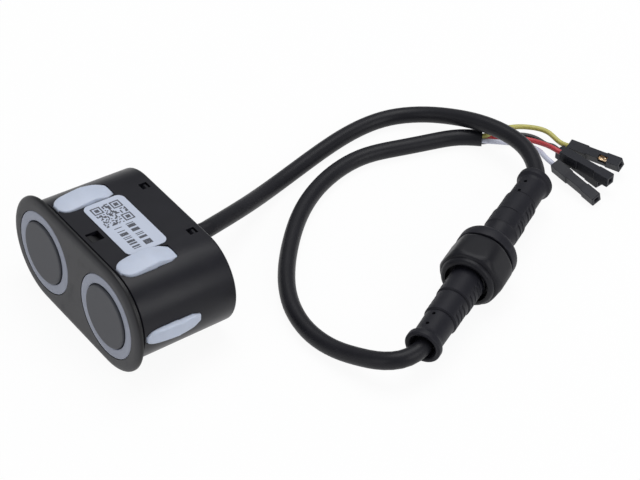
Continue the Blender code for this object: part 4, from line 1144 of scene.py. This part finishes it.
# --- the connector ----------------------------------------------------------------------------------
@dataclass
class Boot:
    """A moulded boot: collar with a hollow mouth, neck, and two ribbed grips with a smooth panel above."""

    collar: float = 4.1 * MM
    collar_length: float = 1.9 * MM
    mouth: float = 3.05 * MM
    mouth_floor: float = 2.3 * MM
    mouth_depth: float = 2.6 * MM
    mouth_lip: float = 0.9 * MM
    neck: float = 3.4 * MM
    neck_end: float = 8.75 * MM
    neck_rise: float = 0.08 * MM
    neck_start: Pair = (0.12 * MM, 0.35 * MM)
    grip: float = 3.8 * MM
    grip_end: float = 15.2 * MM
    root: float = 4.05 * MM
    groove: float = 0.22 * MM
    edge: float = 0.25 * MM
    bevel: float = 0.3 * MM
    rib_lead: float = 0.8 * MM
    rib_pitch: float = 1.5 * MM
    rib_steps: Triple = (0.12 * MM, 0.55 * MM, 0.7 * MM)
    rib_depth: float = 0.2 * MM
    rib_side: Pair = (0.74, 0.12)
    hole: float = 0.42 * MM
    hole_depth: float = 1.2 * MM
    hole_turn: float = math.radians(14)
    sides: int = 128

    def profile(self, length: float) -> list[Triple]:
        """The outside from the cable end inward.

        Args:
            length: where the boot meets its dome or shoulder.

        Returns:
            (distance, radius, rib) triples; rib says how far the sides are let in.
        """
        edge, bevel = self.edge, self.bevel
        mouth, collar, neck, back = self.mouth, self.collar, self.neck, self.collar_length
        wider, further = self.neck_start
        run = [(0.0, self.mouth_depth), (self.mouth_floor, self.mouth_depth), (mouth - edge, self.mouth_lip),
               (mouth, edge), (mouth + bevel, 0.0), (collar - edge, 0.0), (collar, bevel),
               (collar, back - bevel), (collar - bevel, back), (neck + wider, back + further),
               (neck, back + MM), (neck + self.neck_rise, self.neck_end - edge)]
        points = [(distance, radius, 0.0) for radius, distance in rounded(run, edge)]
        points.append((self.neck_end, self.neck - self.groove * 0.6, 0.0))
        points += self.ribs(self.neck_end, self.grip_end, self.grip)
        points.append((self.grip_end, self.grip - self.groove, 0.0))
        return points + self.ribs(self.grip_end, length, self.root)

    def ribs(self, start: float, end: float, radius: float) -> list[Triple]:
        """A grip at one radius, with its side ribs."""
        start, end = start + self.edge, end - 0.2 * MM
        points = [(start, radius - 0.08 * MM, 0.0), (start + 0.1 * MM, radius, 0.0)]
        down, along, up = self.rib_steps
        for index in range(int((end - start - self.rib_lead) / self.rib_pitch)):
            near = start + self.rib_lead + index * self.rib_pitch
            points += [(near, radius, 0.0), (near + down, radius, self.rib_depth),
                       (near + along, radius, self.rib_depth), (near + up, radius, 0.0)]
        return points + [(end - 0.1 * MM, radius, 0.0), (end, radius - 0.08 * MM, 0.0)]

    def ring(self, station: float, radius: float, rib: float) -> Ring:
        """A cross-section whose sides are let in by a rib's depth."""
        if radius == 0.0:
            return circle(radius, station)
        from_top, softness = self.rib_side

        def reach(angle: float) -> float:
            """The radius at an angle."""
            side = min(1.0, max(0.0, (abs(math.sin(angle)) - from_top) / softness))
            return radius - rib * side * side * (3 - 2 * side)

        return shaped(reach, station, self.sides)

    def rings(self, cable_end: float, meeting: float) -> list[Ring]:
        """The boot's cross-sections from its cable end to the station where it meets its dome or shoulder."""
        toward = 1 if meeting > cable_end else -1
        triples = self.profile(toward * (meeting - cable_end))
        return [self.ring(cable_end + toward * distance, radius, rib) for distance, radius, rib in triples]

    def peg_holes(self, stations: Iterable[float]) -> list[Piece]:
        """Cutters for the peg holes on the neck's top."""
        turn = Matrix.Rotation(self.hole_turn, 4, "Z") @ Matrix.Rotation(math.radians(90), 4, "Y")
        heights = (self.neck - self.hole_depth, self.neck + MM)
        return [moved(skin("hole", [circle(self.hole, height, 20) for height in heights]),
                      Matrix.Translation((0.0, 0.0, station)) @ turn) for station in stations]


@dataclass
class Connector:
    """The screw-coupled connector: socket half, plug half and the nut that draws them together."""

    boot: Boot = field(default_factory=Boot)
    socket_end: float = -1.0 * MM
    plug_end: float = 59.1 * MM
    socket_holes: Pair = (4.6 * MM, 8.1 * MM)
    plug_holes: Pair = (4.2 * MM, 7.4 * MM)
    boot_end: float = 19.1 * MM
    dome_neck: float = 3.78 * MM
    dome_start: float = 23.75 * MM
    dome_full: float = 25.85 * MM
    dome_end: float = 27.85 * MM
    dome_radius: float = 6.98 * MM
    dome_edge: float = 0.25 * MM
    dome_bevel: float = 0.07 * MM
    dome_waves: tuple[Triple, ...] = ((0.05, 3, 1.0), (0.035, 8, 0.0), (0.03, 17, 2.0))
    dome_mouth: Pair = (5.8 * MM, 5.75 * MM)
    seat: float = 26.4 * MM
    pocket: float = 5.2 * MM
    pocket_depth: float = 2.35 * MM
    core: float = 3.0 * MM
    core_end: float = 14.9 * MM
    fit: float = 0.15 * MM
    thread: float = 5.5 * MM
    thread_length: float = 5.05 * MM
    thread_pitch: float = 1.5 * MM
    thread_depth: float = 0.4 * MM
    nose_bore: Triple = (4.35 * MM, 4.3 * MM, 2.9 * MM)
    contact_circle: float = 1.55 * MM
    contact_bore: float = 0.825 * MM
    contact_floor: float = 19.0 * MM
    pin_bore: float = 0.475 * MM
    pin_depth: float = 3.15 * MM
    shroud: Pair = (3.05 * MM, 4.15 * MM)
    shroud_tip: float = 1.45 * MM
    seal: Pair = (4.68 * MM, 0.38 * MM)
    seal_back: float = 0.53 * MM
    shoulder: Pair = (32.8 * MM, 34.4 * MM)
    shoulder_radius: float = 5.3 * MM
    shoulder_bore: float = 4.3 * MM
    shoulder_depth: float = 1.05 * MM
    plug_core_depth: float = 11.65 * MM

    def helix(self, start: float, end: float, radius: float, depth: float, sides: int) -> list[Ring]:
        """Rings of a screw thread.

        Args:
            start: station of its first ring.
            end: station of its last ring.
            radius: radius of the crests, or of the roots where depth is negative.
            depth: how far the roots are let in.
            sides: points of each ring.

        Returns:
            The rings.
        """
        count = max(2, round((end - start) / (self.thread_pitch / 8)))
        rings = []
        for row in range(count + 1):
            station = start + (end - start) * row / count
            fade = min(1.0, row / 5, (count - row) / 5)

            def reach(angle: float) -> float:
                """The radius at an angle."""
                turn = (station / self.thread_pitch - angle / (2 * math.pi)) % 1.0
                return radius - depth * fade * abs(2 * turn - 1)

            rings.append(shaped(reach, station, sides))
        return rings

    def circles(self, run: Iterable[Pair]) -> list[Ring]:
        """Round cross-sections from (radius, station) pairs."""
        return [circle(radius, station, self.boot.sides) for radius, station in run]

    def rim_ring(self, radius: float, station: float) -> Ring:
        """The dome's edge, a little uneven as soft mouldings are."""
        ring = circle(radius, station, self.boot.sides)
        for point, angle in zip(ring, even_angles(self.boot.sides)):
            wave = sum(size * math.sin(count * angle + shift) for size, count, shift in self.dome_waves)
            point.z = station + wave * MM
        return ring

    def dome(self) -> list[Ring]:
        """The socket boot's dome, from its root to its edge."""
        neck, full, edge = self.dome_neck, self.dome_full, self.dome_edge
        run = [(self.boot.root - 0.15 * MM, self.boot_end + 0.08 * MM), (neck, self.boot_end + 0.3 * MM),
               (neck, self.dome_start - 0.2 * MM)]
        run += arc((neck, full), (self.dome_radius - neck, full - self.dome_start), -90, 0, 14)
        run += [(self.dome_radius, self.dome_end - edge)]
        rims = ((self.dome_bevel, self.dome_end - self.dome_bevel), (edge, self.dome_end))
        return self.circles(run) + [self.rim_ring(self.dome_radius - off, station) for off, station in rims]

    def socket_body(self) -> None:
        """The fixed half's boot, which opens into a dome."""
        pocket, floor = self.pocket, self.seat - self.pocket_depth
        outer, inner = self.dome_mouth
        run = [(outer, self.dome_end), (inner, self.seat + 0.1 * MM), (pocket, self.seat), (pocket, floor),
               (self.core, floor), (self.core, self.core_end), (0.0, self.core_end)]
        rings = self.boot.rings(self.socket_end, self.boot_end) + self.dome() + self.circles(run)
        body = skin("socket_boot", rings)
        worked(body, self.boot.peg_holes(self.socket_end + hole for hole in self.socket_holes), Blend.CUT)
        settle(body, connector_place(), Body.SENSOR, Looks.BOOT, "socket_body")

    def socket_insert(self) -> None:
        """The insert with the threaded nose and the contacts' bores."""
        nose, end = self.seat + self.fit, self.seat + self.fit + self.thread_length
        core, flange = self.core - self.fit, self.pocket - self.fit
        back, step = self.core_end + self.fit, nose - self.pocket_depth
        mouth, floor, key = self.nose_bore
        rings = self.circles([(0.0, back), (core, back), (core, step), (flange, step), (flange, nose)])
        rings += self.helix(nose, end - 0.2 * MM, self.thread, self.thread_depth, self.boot.sides)
        rings += self.circles([(5.25 * MM, end), (mouth, end), (floor, nose + MM), (key, nose + MM),
                               (key, end - 1.2 * MM), (key - 0.2 * MM, end - MM), (0.0, end - MM)])
        insert = skin("threaded_insert", rings)
        worked(insert, self.bores(self.contact_bore, self.contact_floor, end), Blend.CUT)
        settle(insert, connector_place(), Body.SENSOR, Looks.INSERT, "socket_insert")

    def bores(self, radius: float, start: float, end: float) -> list[Piece]:
        """Cutters for the four contacts' bores."""
        tools = []
        for angle in (math.radians(45 + 90 * index) for index in range(4)):
            place = (self.contact_circle * math.cos(angle), self.contact_circle * math.sin(angle))
            tools.append(skin("bore", [circle(radius, station, 24, place) for station in (start, end)]))
        return tools

    def plug_body(self) -> None:
        """The boot that pulls off, with its shoulder."""
        start, end = self.shoulder
        radius, bore, bevel = self.shoulder_radius, self.shoulder_bore, 0.1 * MM
        floor, back = start + self.shoulder_depth, start + self.plug_core_depth
        run = [(self.boot.root, end), (radius - bevel, end), (radius, end - bevel), (radius, start + bevel),
               (radius - bevel, start), (bore, start), (bore, floor), (self.core, floor), (self.core, back),
               (0.0, back)]
        body = skin("plug_boot", self.boot.rings(self.plug_end, end) + self.circles(run))
        worked(body, self.boot.peg_holes(self.plug_end - hole for hole in self.plug_holes), Blend.CUT)
        settle(body, connector_place(), Body.PLUG, Looks.BOOT, "plug_body")

    def plug_insert(self) -> None:
        """The shroud that carries the pins."""
        start = self.shoulder[0]
        base, tip = start - 1.2 * MM, self.seat + self.shroud_tip
        (inner, outer), fit = self.shroud, self.fit
        flange, back = start + self.shoulder_depth - fit, start + self.plug_core_depth - fit
        core = self.core - fit
        profile = [(0.0, base), (inner, base), (inner, tip + fit), (inner + fit, tip), (outer - fit, tip),
                   (outer, tip + fit), (outer, flange), (core, flange), (core, back), (0.0, back)]
        insert = turned("shroud_insert", profile)
        worked(insert, self.bores(self.pin_bore, base - MM, base + self.pin_depth), Blend.CUT)
        settle(insert, connector_place(), Body.PLUG, Looks.INSERT, "plug_insert")

    def seal_ring(self) -> None:
        """The seal between the halves."""
        radius, thick = self.seal
        section = arc((radius, self.shoulder[0] - self.seal_back), (thick, thick), 0, 345, 23)
        settle(turned("seal", section, closed=True), connector_place(), Body.PLUG, Looks.SEAL, "seal_ring")

    def make(self) -> None:
        """Builds both halves and the nut."""
        self.socket_body()
        self.socket_insert()
        self.plug_body()
        self.plug_insert()
        self.seal_ring()
        Nut(self).make()
        for index in range(1, 5):
            dress_node(f"socket_contact_{index}", Looks.GOLD)
            dress_node(f"plug_pin_{index}", Looks.GOLD)


@dataclass
class Nut:
    """The coupling nut: bevelled flats, a round rim, a deep recess, a lip and its thread."""

    connector: Connector
    start: float = 28.1 * MM
    flats_end: float = 35.85 * MM
    end: float = 37.25 * MM
    corner: float = 7.5 * MM
    rim: float = 6.25 * MM
    rim_round: Pair = (1.0 * MM, 1.0 * MM)
    recess: float = 5.0 * MM
    lip: float = 4.35 * MM
    lip_span: Pair = (34.5 * MM, 34.9 * MM)
    thread: float = 5.65 * MM
    thread_span: Pair = (34.3 * MM, 28.4 * MM)
    mouth: float = 6.0 * MM
    sides: int = 144
    blend: int = 40
    front: tuple[Pair, ...] = ((0.0, 6.45), (0.06, 6.6), (0.2, 6.8), (0.45, 7.05), (0.8, 7.3), (1.1, 7.4))
    back: tuple[Triple, ...] = ((1.7, 0.0, 0.0), (1.3, 0.08, 0.0), (0.45, 0.52, 0.0), (0.34, 0.6, 0.07),
                                (0.04, 0.86, 0.33), (0.0, 0.95, 0.43))

    def flats(self, station: float, limit: float, flat: float = NUT_FLAT) -> Ring:
        """The outside at a station: six flats kept within a circle."""
        def reach(angle: float) -> float:
            """The radius at an angle."""
            from_flat = (angle + math.pi / 6) % (math.pi / 3) - math.pi / 6
            hexagon = flat / math.cos(from_flat)
            if hexagon <= limit * 0.9:
                return hexagon
            return (hexagon ** -self.blend + limit ** -self.blend) ** (-1 / self.blend)

        return shaped(reach, station, self.sides)

    def make(self) -> None:
        """Builds the nut; front and back list how far its bevels lie in, in millimetres."""
        rings = [self.flats(self.start + along * MM, limit * MM) for along, limit in self.front]
        rings += [self.flats(self.flats_end - along * MM, self.corner - limit * MM, NUT_FLAT - flat * MM)
                  for along, limit, flat in self.back]
        near, far = self.lip_span
        run = [(self.rim, self.flats_end + 0.06 * MM), (self.rim, self.flats_end + 0.2 * MM)]
        run += arc((self.rim - self.rim_round[0], self.end - self.rim_round[1]), self.rim_round, 10, 84, 10)
        run += [(self.recess, self.end - 0.15 * MM), (self.recess, far), (self.lip, far), (self.lip, near),
                (self.thread, near)]
        rings += [circle(radius, station, self.sides) for radius, station in run]
        depth = -self.connector.thread_depth
        rings += self.connector.helix(*self.thread_span, self.thread, depth, self.sides)
        nut = skin("nut_moulding", rings + [circle(self.mouth, self.start, self.sides)], closed=True)
        settle(nut, connector_place(), Body.NUT, Looks.NUT, "coupling_nut")


# --- cables, wires and crimp housings ---------------------------------------------------------------
@dataclass(frozen=True)
class CrimpPlace:
    """Where a crimp housing lies on the bench: its wire end in mm, then its turns in degrees."""

    back: Triple
    yaw: float
    pitch: float
    roll: float

    def matrix(self) -> Matrix:
        """The housing's frame: X from the wire end to the open end."""
        turns = ((self.yaw, "Z"), (self.pitch, "Y"), (self.roll, "X"))
        place = Matrix.Translation(on_bench([self.back])[0])
        for angle, axis in turns:
            place = place @ Matrix.Rotation(math.radians(angle), 4, axis)
        return place


class WireColour(Enum):
    """The lead's wires."""

    YELLOW = "yellow"
    BLACK = "black"
    RED = "red"
    WHITE = "white"


WIRE_FINISHES = {
    WireColour.YELLOW: Insulation("yellow_insulation", (0.50, 0.47, 0.13)),
    WireColour.BLACK: Insulation("black_insulation", (0.02, 0.02, 0.022)),
    WireColour.RED: Insulation("red_insulation", (0.50, 0.045, 0.055)),
    WireColour.WHITE: Insulation("white_insulation", (0.60, 0.62, 0.74)),
}
CRIMPS = {
    WireColour.YELLOW: CrimpPlace((18.8, 123.8, 1.75), 14.9, -6.0, 20.0),
    WireColour.BLACK: CrimpPlace((18.3, 120.9, 1.31), 1.5, 0.0, 0.0),
    WireColour.RED: CrimpPlace((21.7, 118.6, 4.12), 10.6, 1.0, 0.0),
    WireColour.WHITE: CrimpPlace((22.7, 115.6, 2.7), 2.1, 4.7, 16.0),
}
WIRE_ROUTES = {
    WireColour.YELLOW: [(5.0, 111.4, 2.9), (5.2, 114.5, 2.6), (6.1, 118.1, 2.1), (8.6, 121.3, 1.9),
                        (12.3, 122.9, 2.0)],
    WireColour.BLACK: [(5.0, 111.5, 0.7), (5.9, 114.6, 0.8), (7.8, 118.0, 0.8), (11.4, 120.1, 0.9),
                       (14.9, 120.6, 1.1)],
    WireColour.RED: [(4.9, 111.6, 1.1), (8.0, 114.0, 1.9), (11.3, 117.1, 2.1), (15.4, 118.5, 2.8)],
    WireColour.WHITE: [(7.6, 112.4, 1.2), (10.6, 115.9, 0.8), (14.2, 117.2, 1.2)],
}
WIRE_STARTS = {
    WireColour.YELLOW: (0.1, 0.8),
    WireColour.BLACK: (0.1, -1.0),
    WireColour.RED: (-0.75, -0.4),
    WireColour.WHITE: (0.96, -0.05),
}
SENSOR_CABLE_ROUTE = [
    (-5.3, 47.4, 6.0), (-9.5, 57.0, 3.0), (-12.6, 67.6, 2.0), (-14.8, 78.2, 1.97), (-15.8, 88.3, 1.97),
    (-14.5, 96.3, 2.1), (-10.4, 102.1, 2.9), (-3.7, 106.2, 4.6), (3.7, 108.9, 6.2), (12.6, 110.8, 6.9),
    (18.6, 110.3, 7.1), (23.4, 108.4, 7.0), (26.6, 106.3, 6.9),
]
LEAD_CABLE_ROUTE = [
    (54.6, 48.5, 6.8), (54.1, 45.5, 6.6), (52.0, 42.9, 6.0), (46.8, 40.4, 4.4), (40.5, 38.5, 2.9),
    (32.3, 37.7, 2.1), (22.2, 40.1, 1.97), (13.9, 45.2, 1.97), (7.3, 51.1, 1.97), (-1.2, 61.4, 1.97),
    (-6.4, 73.8, 1.97), (-6.9, 83.0, 1.97), (-4.2, 91.8, 1.97), (-1.8, 98.5, 1.97), (1.1, 105.1, 1.97),
    (4.4, 109.0, 1.97),
]


@dataclass
class Cord:
    """A round cable or wire along a smooth route."""

    name: str
    node: str
    route: list[Vector]
    radius: float
    body: Body
    finish: Finish
    before: list[Vector] = field(default_factory=list)
    after: list[Vector] = field(default_factory=list)

    def points(self) -> list[Vector]:
        """The points that the cord follows, with its straight ends."""
        return self.before + smooth_curve(self.route, 0.9 * self.radius) + self.after

    def make(self) -> None:
        """Builds the cord."""
        points = self.points()
        data = bpy.data.curves.new(self.name, "CURVE")
        data.dimensions = "3D"
        data.bevel_depth = self.radius
        data.bevel_resolution = 8
        data.use_fill_caps = True
        spline = data.splines.new("POLY")
        spline.points.add(len(points) - 1)
        for target, point in zip(spline.points, points):
            target.co = (*point, 1.0)
        spline.use_smooth = True
        cord = bpy.data.objects.new(self.name, data)
        bpy.context.scene.collection.objects.link(cord)
        settle(cord, Matrix.Identity(4), self.body, self.finish, self.node)

    def declare(self, pieces: Sequence[str]) -> None:
        points = self.points()


@dataclass
class CrimpHousing:
    """A single-way crimp housing with a latch window, and the terminal in it."""

    colour: WireColour
    length: float = 14.0 * MM
    side: float = 2.54 * MM
    bore: float = 1.9 * MM
    chamfer: float = 0.1 * MM
    waist: Pair = (4.9 * MM, 10.1 * MM)
    waist_ramp: float = 0.15 * MM
    waist_depth: float = 0.2 * MM
    window: Pair = (8.4 * MM, 10.8 * MM)
    mouth_length: float = 0.7 * MM
    mouth: Pair = (0.5 * MM, 0.75 * MM)
    fold: float = 0.775 * MM
    fold_length: float = 6.6 * MM
    pin_hole: float = 0.45 * MM
    setback: float = 0.8 * MM
    neck: Pair = (8.6 * MM, 6.0 * MM)
    web: Pair = (1.4 * MM, 7.0 * MM)
    barrels: tuple[Pair, Pair] = ((1.2 * MM, 2.9 * MM), (3.3 * MM, 5.2 * MM))
    barrel_bevel: Pair = (0.2 * MM, 0.85)
    pin_depth: float = 5.0 * MM
    latch_shift: float = 0.2 * MM
    latch_edge: float = 0.25 * MM
    stop: tuple[Pair, ...] = ((0.42 * MM, -0.3 * MM), (0.34 * MM, 0.0), (0.1 * MM, 0.12 * MM))
    stop_shift: Pair = (0.3 * MM, -0.2 * MM)
    softness: Pair = (0.08 * MM, 0.05 * MM)

    @property
    def broken(self) -> bool:
        """Whether the latch window faces up and is broken out to its edge, as the yellow one's is."""
        return self.colour is WireColour.YELLOW

    @property
    def up(self) -> int:
        """1 where the latch window faces up, -1 where it faces the bench."""
        return 1 if self.broken else -1

    @property
    def window_sides(self) -> Pair:
        """The latch window's two sides."""
        return (-1.35 * MM, 0.1 * MM) if self.broken else (-0.7 * MM, 0.7 * MM)

    def put(self, piece: Piece, finish: Finish, word: str) -> None:
        """Puts a piece where this housing lies; word ends its node's name."""
        settle(piece, CRIMPS[self.colour].matrix(), Body.PLUG, finish, f"{self.colour.value}_crimp_{word}")

    def box(self, name: str, stations: Iterable[Triple]) -> Piece:
        """A squared form along X through (station, half width, half height) triples."""
        corners = ((-1, -1), (1, -1), (1, 1), (-1, 1))
        rings = [[Vector((x, y * wide, z * tall)) for y, z in corners] for x, wide, tall in stations]
        return skin(name, rings)

    def housing(self) -> None:
        """The squared moulding: a wire bore, a smaller pin mouth, a latch window and waisted sides."""
        half, bore, chamfer = self.side / 2, self.bore / 2, self.chamfer
        near, far = self.waist
        slim, ramp, end = half - self.waist_depth, self.waist_ramp, self.length
        moulding = self.box(f"{self.colour.value}_crimp_moulding", (
            (0.0, half - chamfer, half - chamfer), (chamfer, half, half), (near, half, half),
            (near + ramp, slim, half), (far - ramp, slim, half), (far, half, half),
            (end - chamfer, half, half), (end, half - chamfer, half - chamfer)))
        lip = end - self.mouth_length
        small, wide = self.mouth
        floor, ceiling = sorted((0.0, self.up * self.side))
        (start, stop), (low, high) = self.window, self.window_sides
        tools = [block("bore", (-MM, -bore, -bore), (lip, bore, bore)),
                 block("window", (start, low, floor), (stop, high, ceiling)),
                 self.box("mouth", ((lip - 0.1 * MM, small, small), (end - 0.3 * MM, small, small),
                                    (end + 0.1 * MM, wide, wide)))]
        softened(worked(moulding, tools, Blend.CUT), self.softness[0])
        self.put(moulding, Looks.CRIMP, "housing")

    def terminal(self) -> None:
        """The folded terminal: a box with a latch tab, a neck and two crimped barrels."""
        side, hole, front = self.fold, self.pin_hole, self.length - self.setback
        terminal = block(f"{self.colour.value}_terminal_fold", (front - self.fold_length, -side, -side),
                         (front, side, side))
        (back, toward), (start, end) = self.neck, self.web
        half, low = side * 0.5, side * 0.6
        joins = [block("neck", (front - back, -low, -side), (front - toward, low, -side * 0.3))]
        bevel, share = self.barrel_bevel
        for near, far in self.barrels:
            barrel = ((near, side * share), (near + bevel, side), (far - bevel, side), (far, side * share))
            joins.append(skin("barrel", [circle_x(along, reach) for along, reach in barrel]))
        joins.append(block("web", (start, -half, -side), (front - end, half, -half)))
        worked(terminal, joins, Blend.JOIN)
        (start, end), low, edge = self.window, self.window_sides[0], self.latch_edge
        near, far = start + self.latch_shift, end + self.latch_shift
        tools = [block("hole", (front - self.pin_depth, -hole, -hole), (front + MM, hole, hole)),
                 block("latch", (near, low + edge, side - edge), (far, edge, side + MM))]
        worked(terminal, tools, Blend.CUT)
        middle = ((start + end) / 2 + self.stop_shift[0], self.stop_shift[1])
        stop = skin("stop", [circle(radius, side + lift, 16, middle) for radius, lift in self.stop])
        softened(worked(terminal, [stop], Blend.JOIN), self.softness[1])
        moved(terminal, Matrix.Diagonal((1.0, 1.0, self.up, 1.0)))
        self.put(terminal, Looks.GOLD, "terminal")

    def make(self) -> None:
        """Builds the housing and its terminal."""
        self.housing()
        self.terminal()


@dataclass
class Wiring:
    """The sensor's cable, the lead and its four wires."""

    cable_radius: float = 1.95 * MM
    wire_radius: float = 0.6 * MM
    inside: float = 0.8 * MM
    outside: float = 0.4 * MM
    gap: float = 0.3 * MM
    inlet: float = 1.1 * MM
    straight: float = 5.5 * MM
    wire_straight: float = 2.6 * MM
    socket_run: Pair = (-1.3 * MM, 1.3 * MM)
    plug_run: Pair = (56.8 * MM, 59.4 * MM)

    def sensor_cable(self) -> Cord:
        """From the head's grommet over the lead's wires into the socket half."""
        sizes, head, connector = HeadSizes(), head_place(), connector_place()
        out = sizes.body_end + sizes.fit + Grommet(sizes).crown_height + self.gap
        depths = (out - self.inlet, out, out + self.straight)
        inlet, start, bend = [head @ Vector((0.0, depth, 0.0)) for depth in depths]
        end = [connector @ Vector((0.0, 0.0, station)) for station in self.socket_run]
        return Cord("sensor_cable_jacket", "sensor_cable", [bend] + on_bench(SENSOR_CABLE_ROUTE) + end[:1],
                    self.cable_radius, Body.SENSOR, Looks.CABLE, [inlet, start], end[1:])

    def lead_cable(self) -> Cord:
        """From the plug half round to the cut end of its jacket."""
        start = [connector_place() @ Vector((0.0, 0.0, station)) for station in self.plug_run]
        return Cord("lead_cable_jacket", "lead_cable", start[1:] + on_bench(LEAD_CABLE_ROUTE),
                    self.cable_radius, Body.PLUG, Looks.CABLE, start[:1])

    def wires(self) -> list[Cord]:
        """From the jacket's end to the crimp housings."""
        before, last = on_bench(LEAD_CABLE_ROUTE[-2:])
        heading = (last - before).normalized()
        right = heading.cross(Vector((0.0, 0.0, 1.0)))
        up = right.cross(heading)
        cords = []
        for colour, (sideways, upward) in WIRE_STARTS.items():
            begin = last - heading * self.inside + (right * sideways + up * upward) * MM
            back = CRIMPS[colour].matrix()
            end = [back @ Vector((distance, 0.0, 0.0)) for distance in (-self.wire_straight, self.gap)]
            route = [begin, begin + heading * (self.inside + self.outside)]
            route += on_bench(WIRE_ROUTES[colour]) + end
            node = f"{colour.value}_wire"
            cords.append(Cord(f"{node}_insulation", node, route, self.wire_radius, Body.PLUG,
                              WIRE_FINISHES[colour]))
        return cords

    def make(self) -> None:
        """Builds every cable and wire."""
        for cord in [self.sensor_cable(), self.lead_cable()] + self.wires():
            cord.make()

    def declare(self) -> None:
        """Lists what is on each cable's far end and hands it to the cable's declare, which only works out its
        points.
        """
        mated = ["socket_boot", "threaded_insert", "nut_moulding", "plug_boot", "shroud_insert", "seal"]
        mated += [f"{kind}_{index}" for kind in ("socket_contact", "plug_pin") for index in range(1, 5)]
        self.sensor_cable().declare(mated)
        ends = ("wire_insulation", "crimp_moulding", "terminal_fold")
        self.lead_cable().declare([f"{colour.value}_{end}" for colour in WireColour for end in ends])


# --- the studio -------------------------------------------------------------------------------------
@dataclass(frozen=True)
class Lamp:
    """A soft square lamp that looks at one point."""

    name: str
    at: Triple
    size: float
    power: float
    aim: Triple = (0.02, 0.05, 0.01)

    def make(self) -> None:
        """Adds the lamp."""
        data = bpy.data.lights.new(self.name, "AREA")
        data.size = self.size
        data.energy = self.power
        lamp = bpy.data.objects.new(self.name, data)
        bpy.context.scene.collection.objects.link(lamp)
        lamp.location = self.at
        lamp.rotation_euler = (Vector(self.aim) - Vector(self.at)).to_track_quat("-Z", "Y").to_euler()


@dataclass
class Studio:
    """Floor, lamps, world and the camera at the photograph's viewing angle."""

    focal_pixels: float = 2187.1
    image_width: float = 640.0
    sensor_width: float = 36.0
    back: Vector = field(default_factory=lambda: Vector((0.5950, -0.4437, 0.6702)))
    right: Vector = field(default_factory=lambda: Vector((0.5979, 0.8016, 0.0)))
    shift: Triple = (461.69 * MM, 51.884 * MM, 9.359 * MM)
    target_height: float = 12.747 * MM
    floor_half: float = 3.0
    floor_height: float = -0.05 * MM
    surround: Colour = (0.95, 0.97, 1.0)
    surround_strength: float = 0.38

    def camera(self) -> None:
        """Adds the camera."""
        data = bpy.data.cameras.new("camera")
        data.sensor_width = self.sensor_width
        data.sensor_fit = "HORIZONTAL"
        data.lens = self.focal_pixels / self.image_width * self.sensor_width
        data.clip_start = 0.01
        camera = bpy.data.objects.new("camera", data)
        bpy.context.scene.collection.objects.link(camera)
        back = self.back.normalized()
        right = (self.right - back * self.right.dot(back)).normalized()
        up = back.cross(right)
        away, sideways, upward = self.shift
        at = back * away + right * sideways + up * upward + Vector((0.0, -BENCH_SHIFT, self.target_height))
        turn = Matrix((right, up, back)).transposed().to_4x4()
        camera.matrix_world = Matrix.Translation(at) @ turn
        bpy.context.scene.camera = camera

    def floor(self) -> None:
        """Adds the floor."""
        half = self.floor_half
        corners = [(-half, -half, 0.0), (half, -half, 0.0), (half, half, 0.0), (-half, half, 0.0)]
        mesh = bpy.data.meshes.new("floor")
        mesh.from_pydata(corners, [], [(0, 1, 2, 3)])
        floor = bpy.data.objects.new("floor", mesh)
        floor.location.z = self.floor_height
        mesh.materials.append(Looks.FLOOR.material())
        bpy.context.scene.collection.objects.link(floor)

    def world(self) -> None:
        """Sets an even pale surround."""
        world = bpy.data.worlds.new("surround")
        world.use_nodes = True
        background = world.node_tree.nodes["Background"]
        background.inputs["Color"].default_value = (*self.surround, 1.0)
        background.inputs["Strength"].default_value = self.surround_strength
        bpy.context.scene.world = world

    def make(self) -> None:
        """Builds the studio."""
        bpy.context.scene.view_settings.view_transform = "Standard"
        self.world()
        self.floor()
        self.camera()
        Lamp("top_softbox", (-0.15, 0.25, 0.9), 0.7, 5.2).make()
        Lamp("right_softbox", (0.8, 0.3, 0.45), 0.5, 2.4).make()
        Lamp("front_fill", (0.1, -0.9, 0.4), 0.6, 1.6).make()


def main() -> None:
    """Builds the studio, the cords and then every other piece."""
    logging.basicConfig(level=logging.INFO, format="%(message)s")
    Studio().make()
    wiring = Wiring()
    wiring.make()
    for colour in WireColour:
        CrimpHousing(colour).make()
    SensorHead().make()
    Connector().make()
    wiring.declare()


if __name__ == "__main__":
    main()
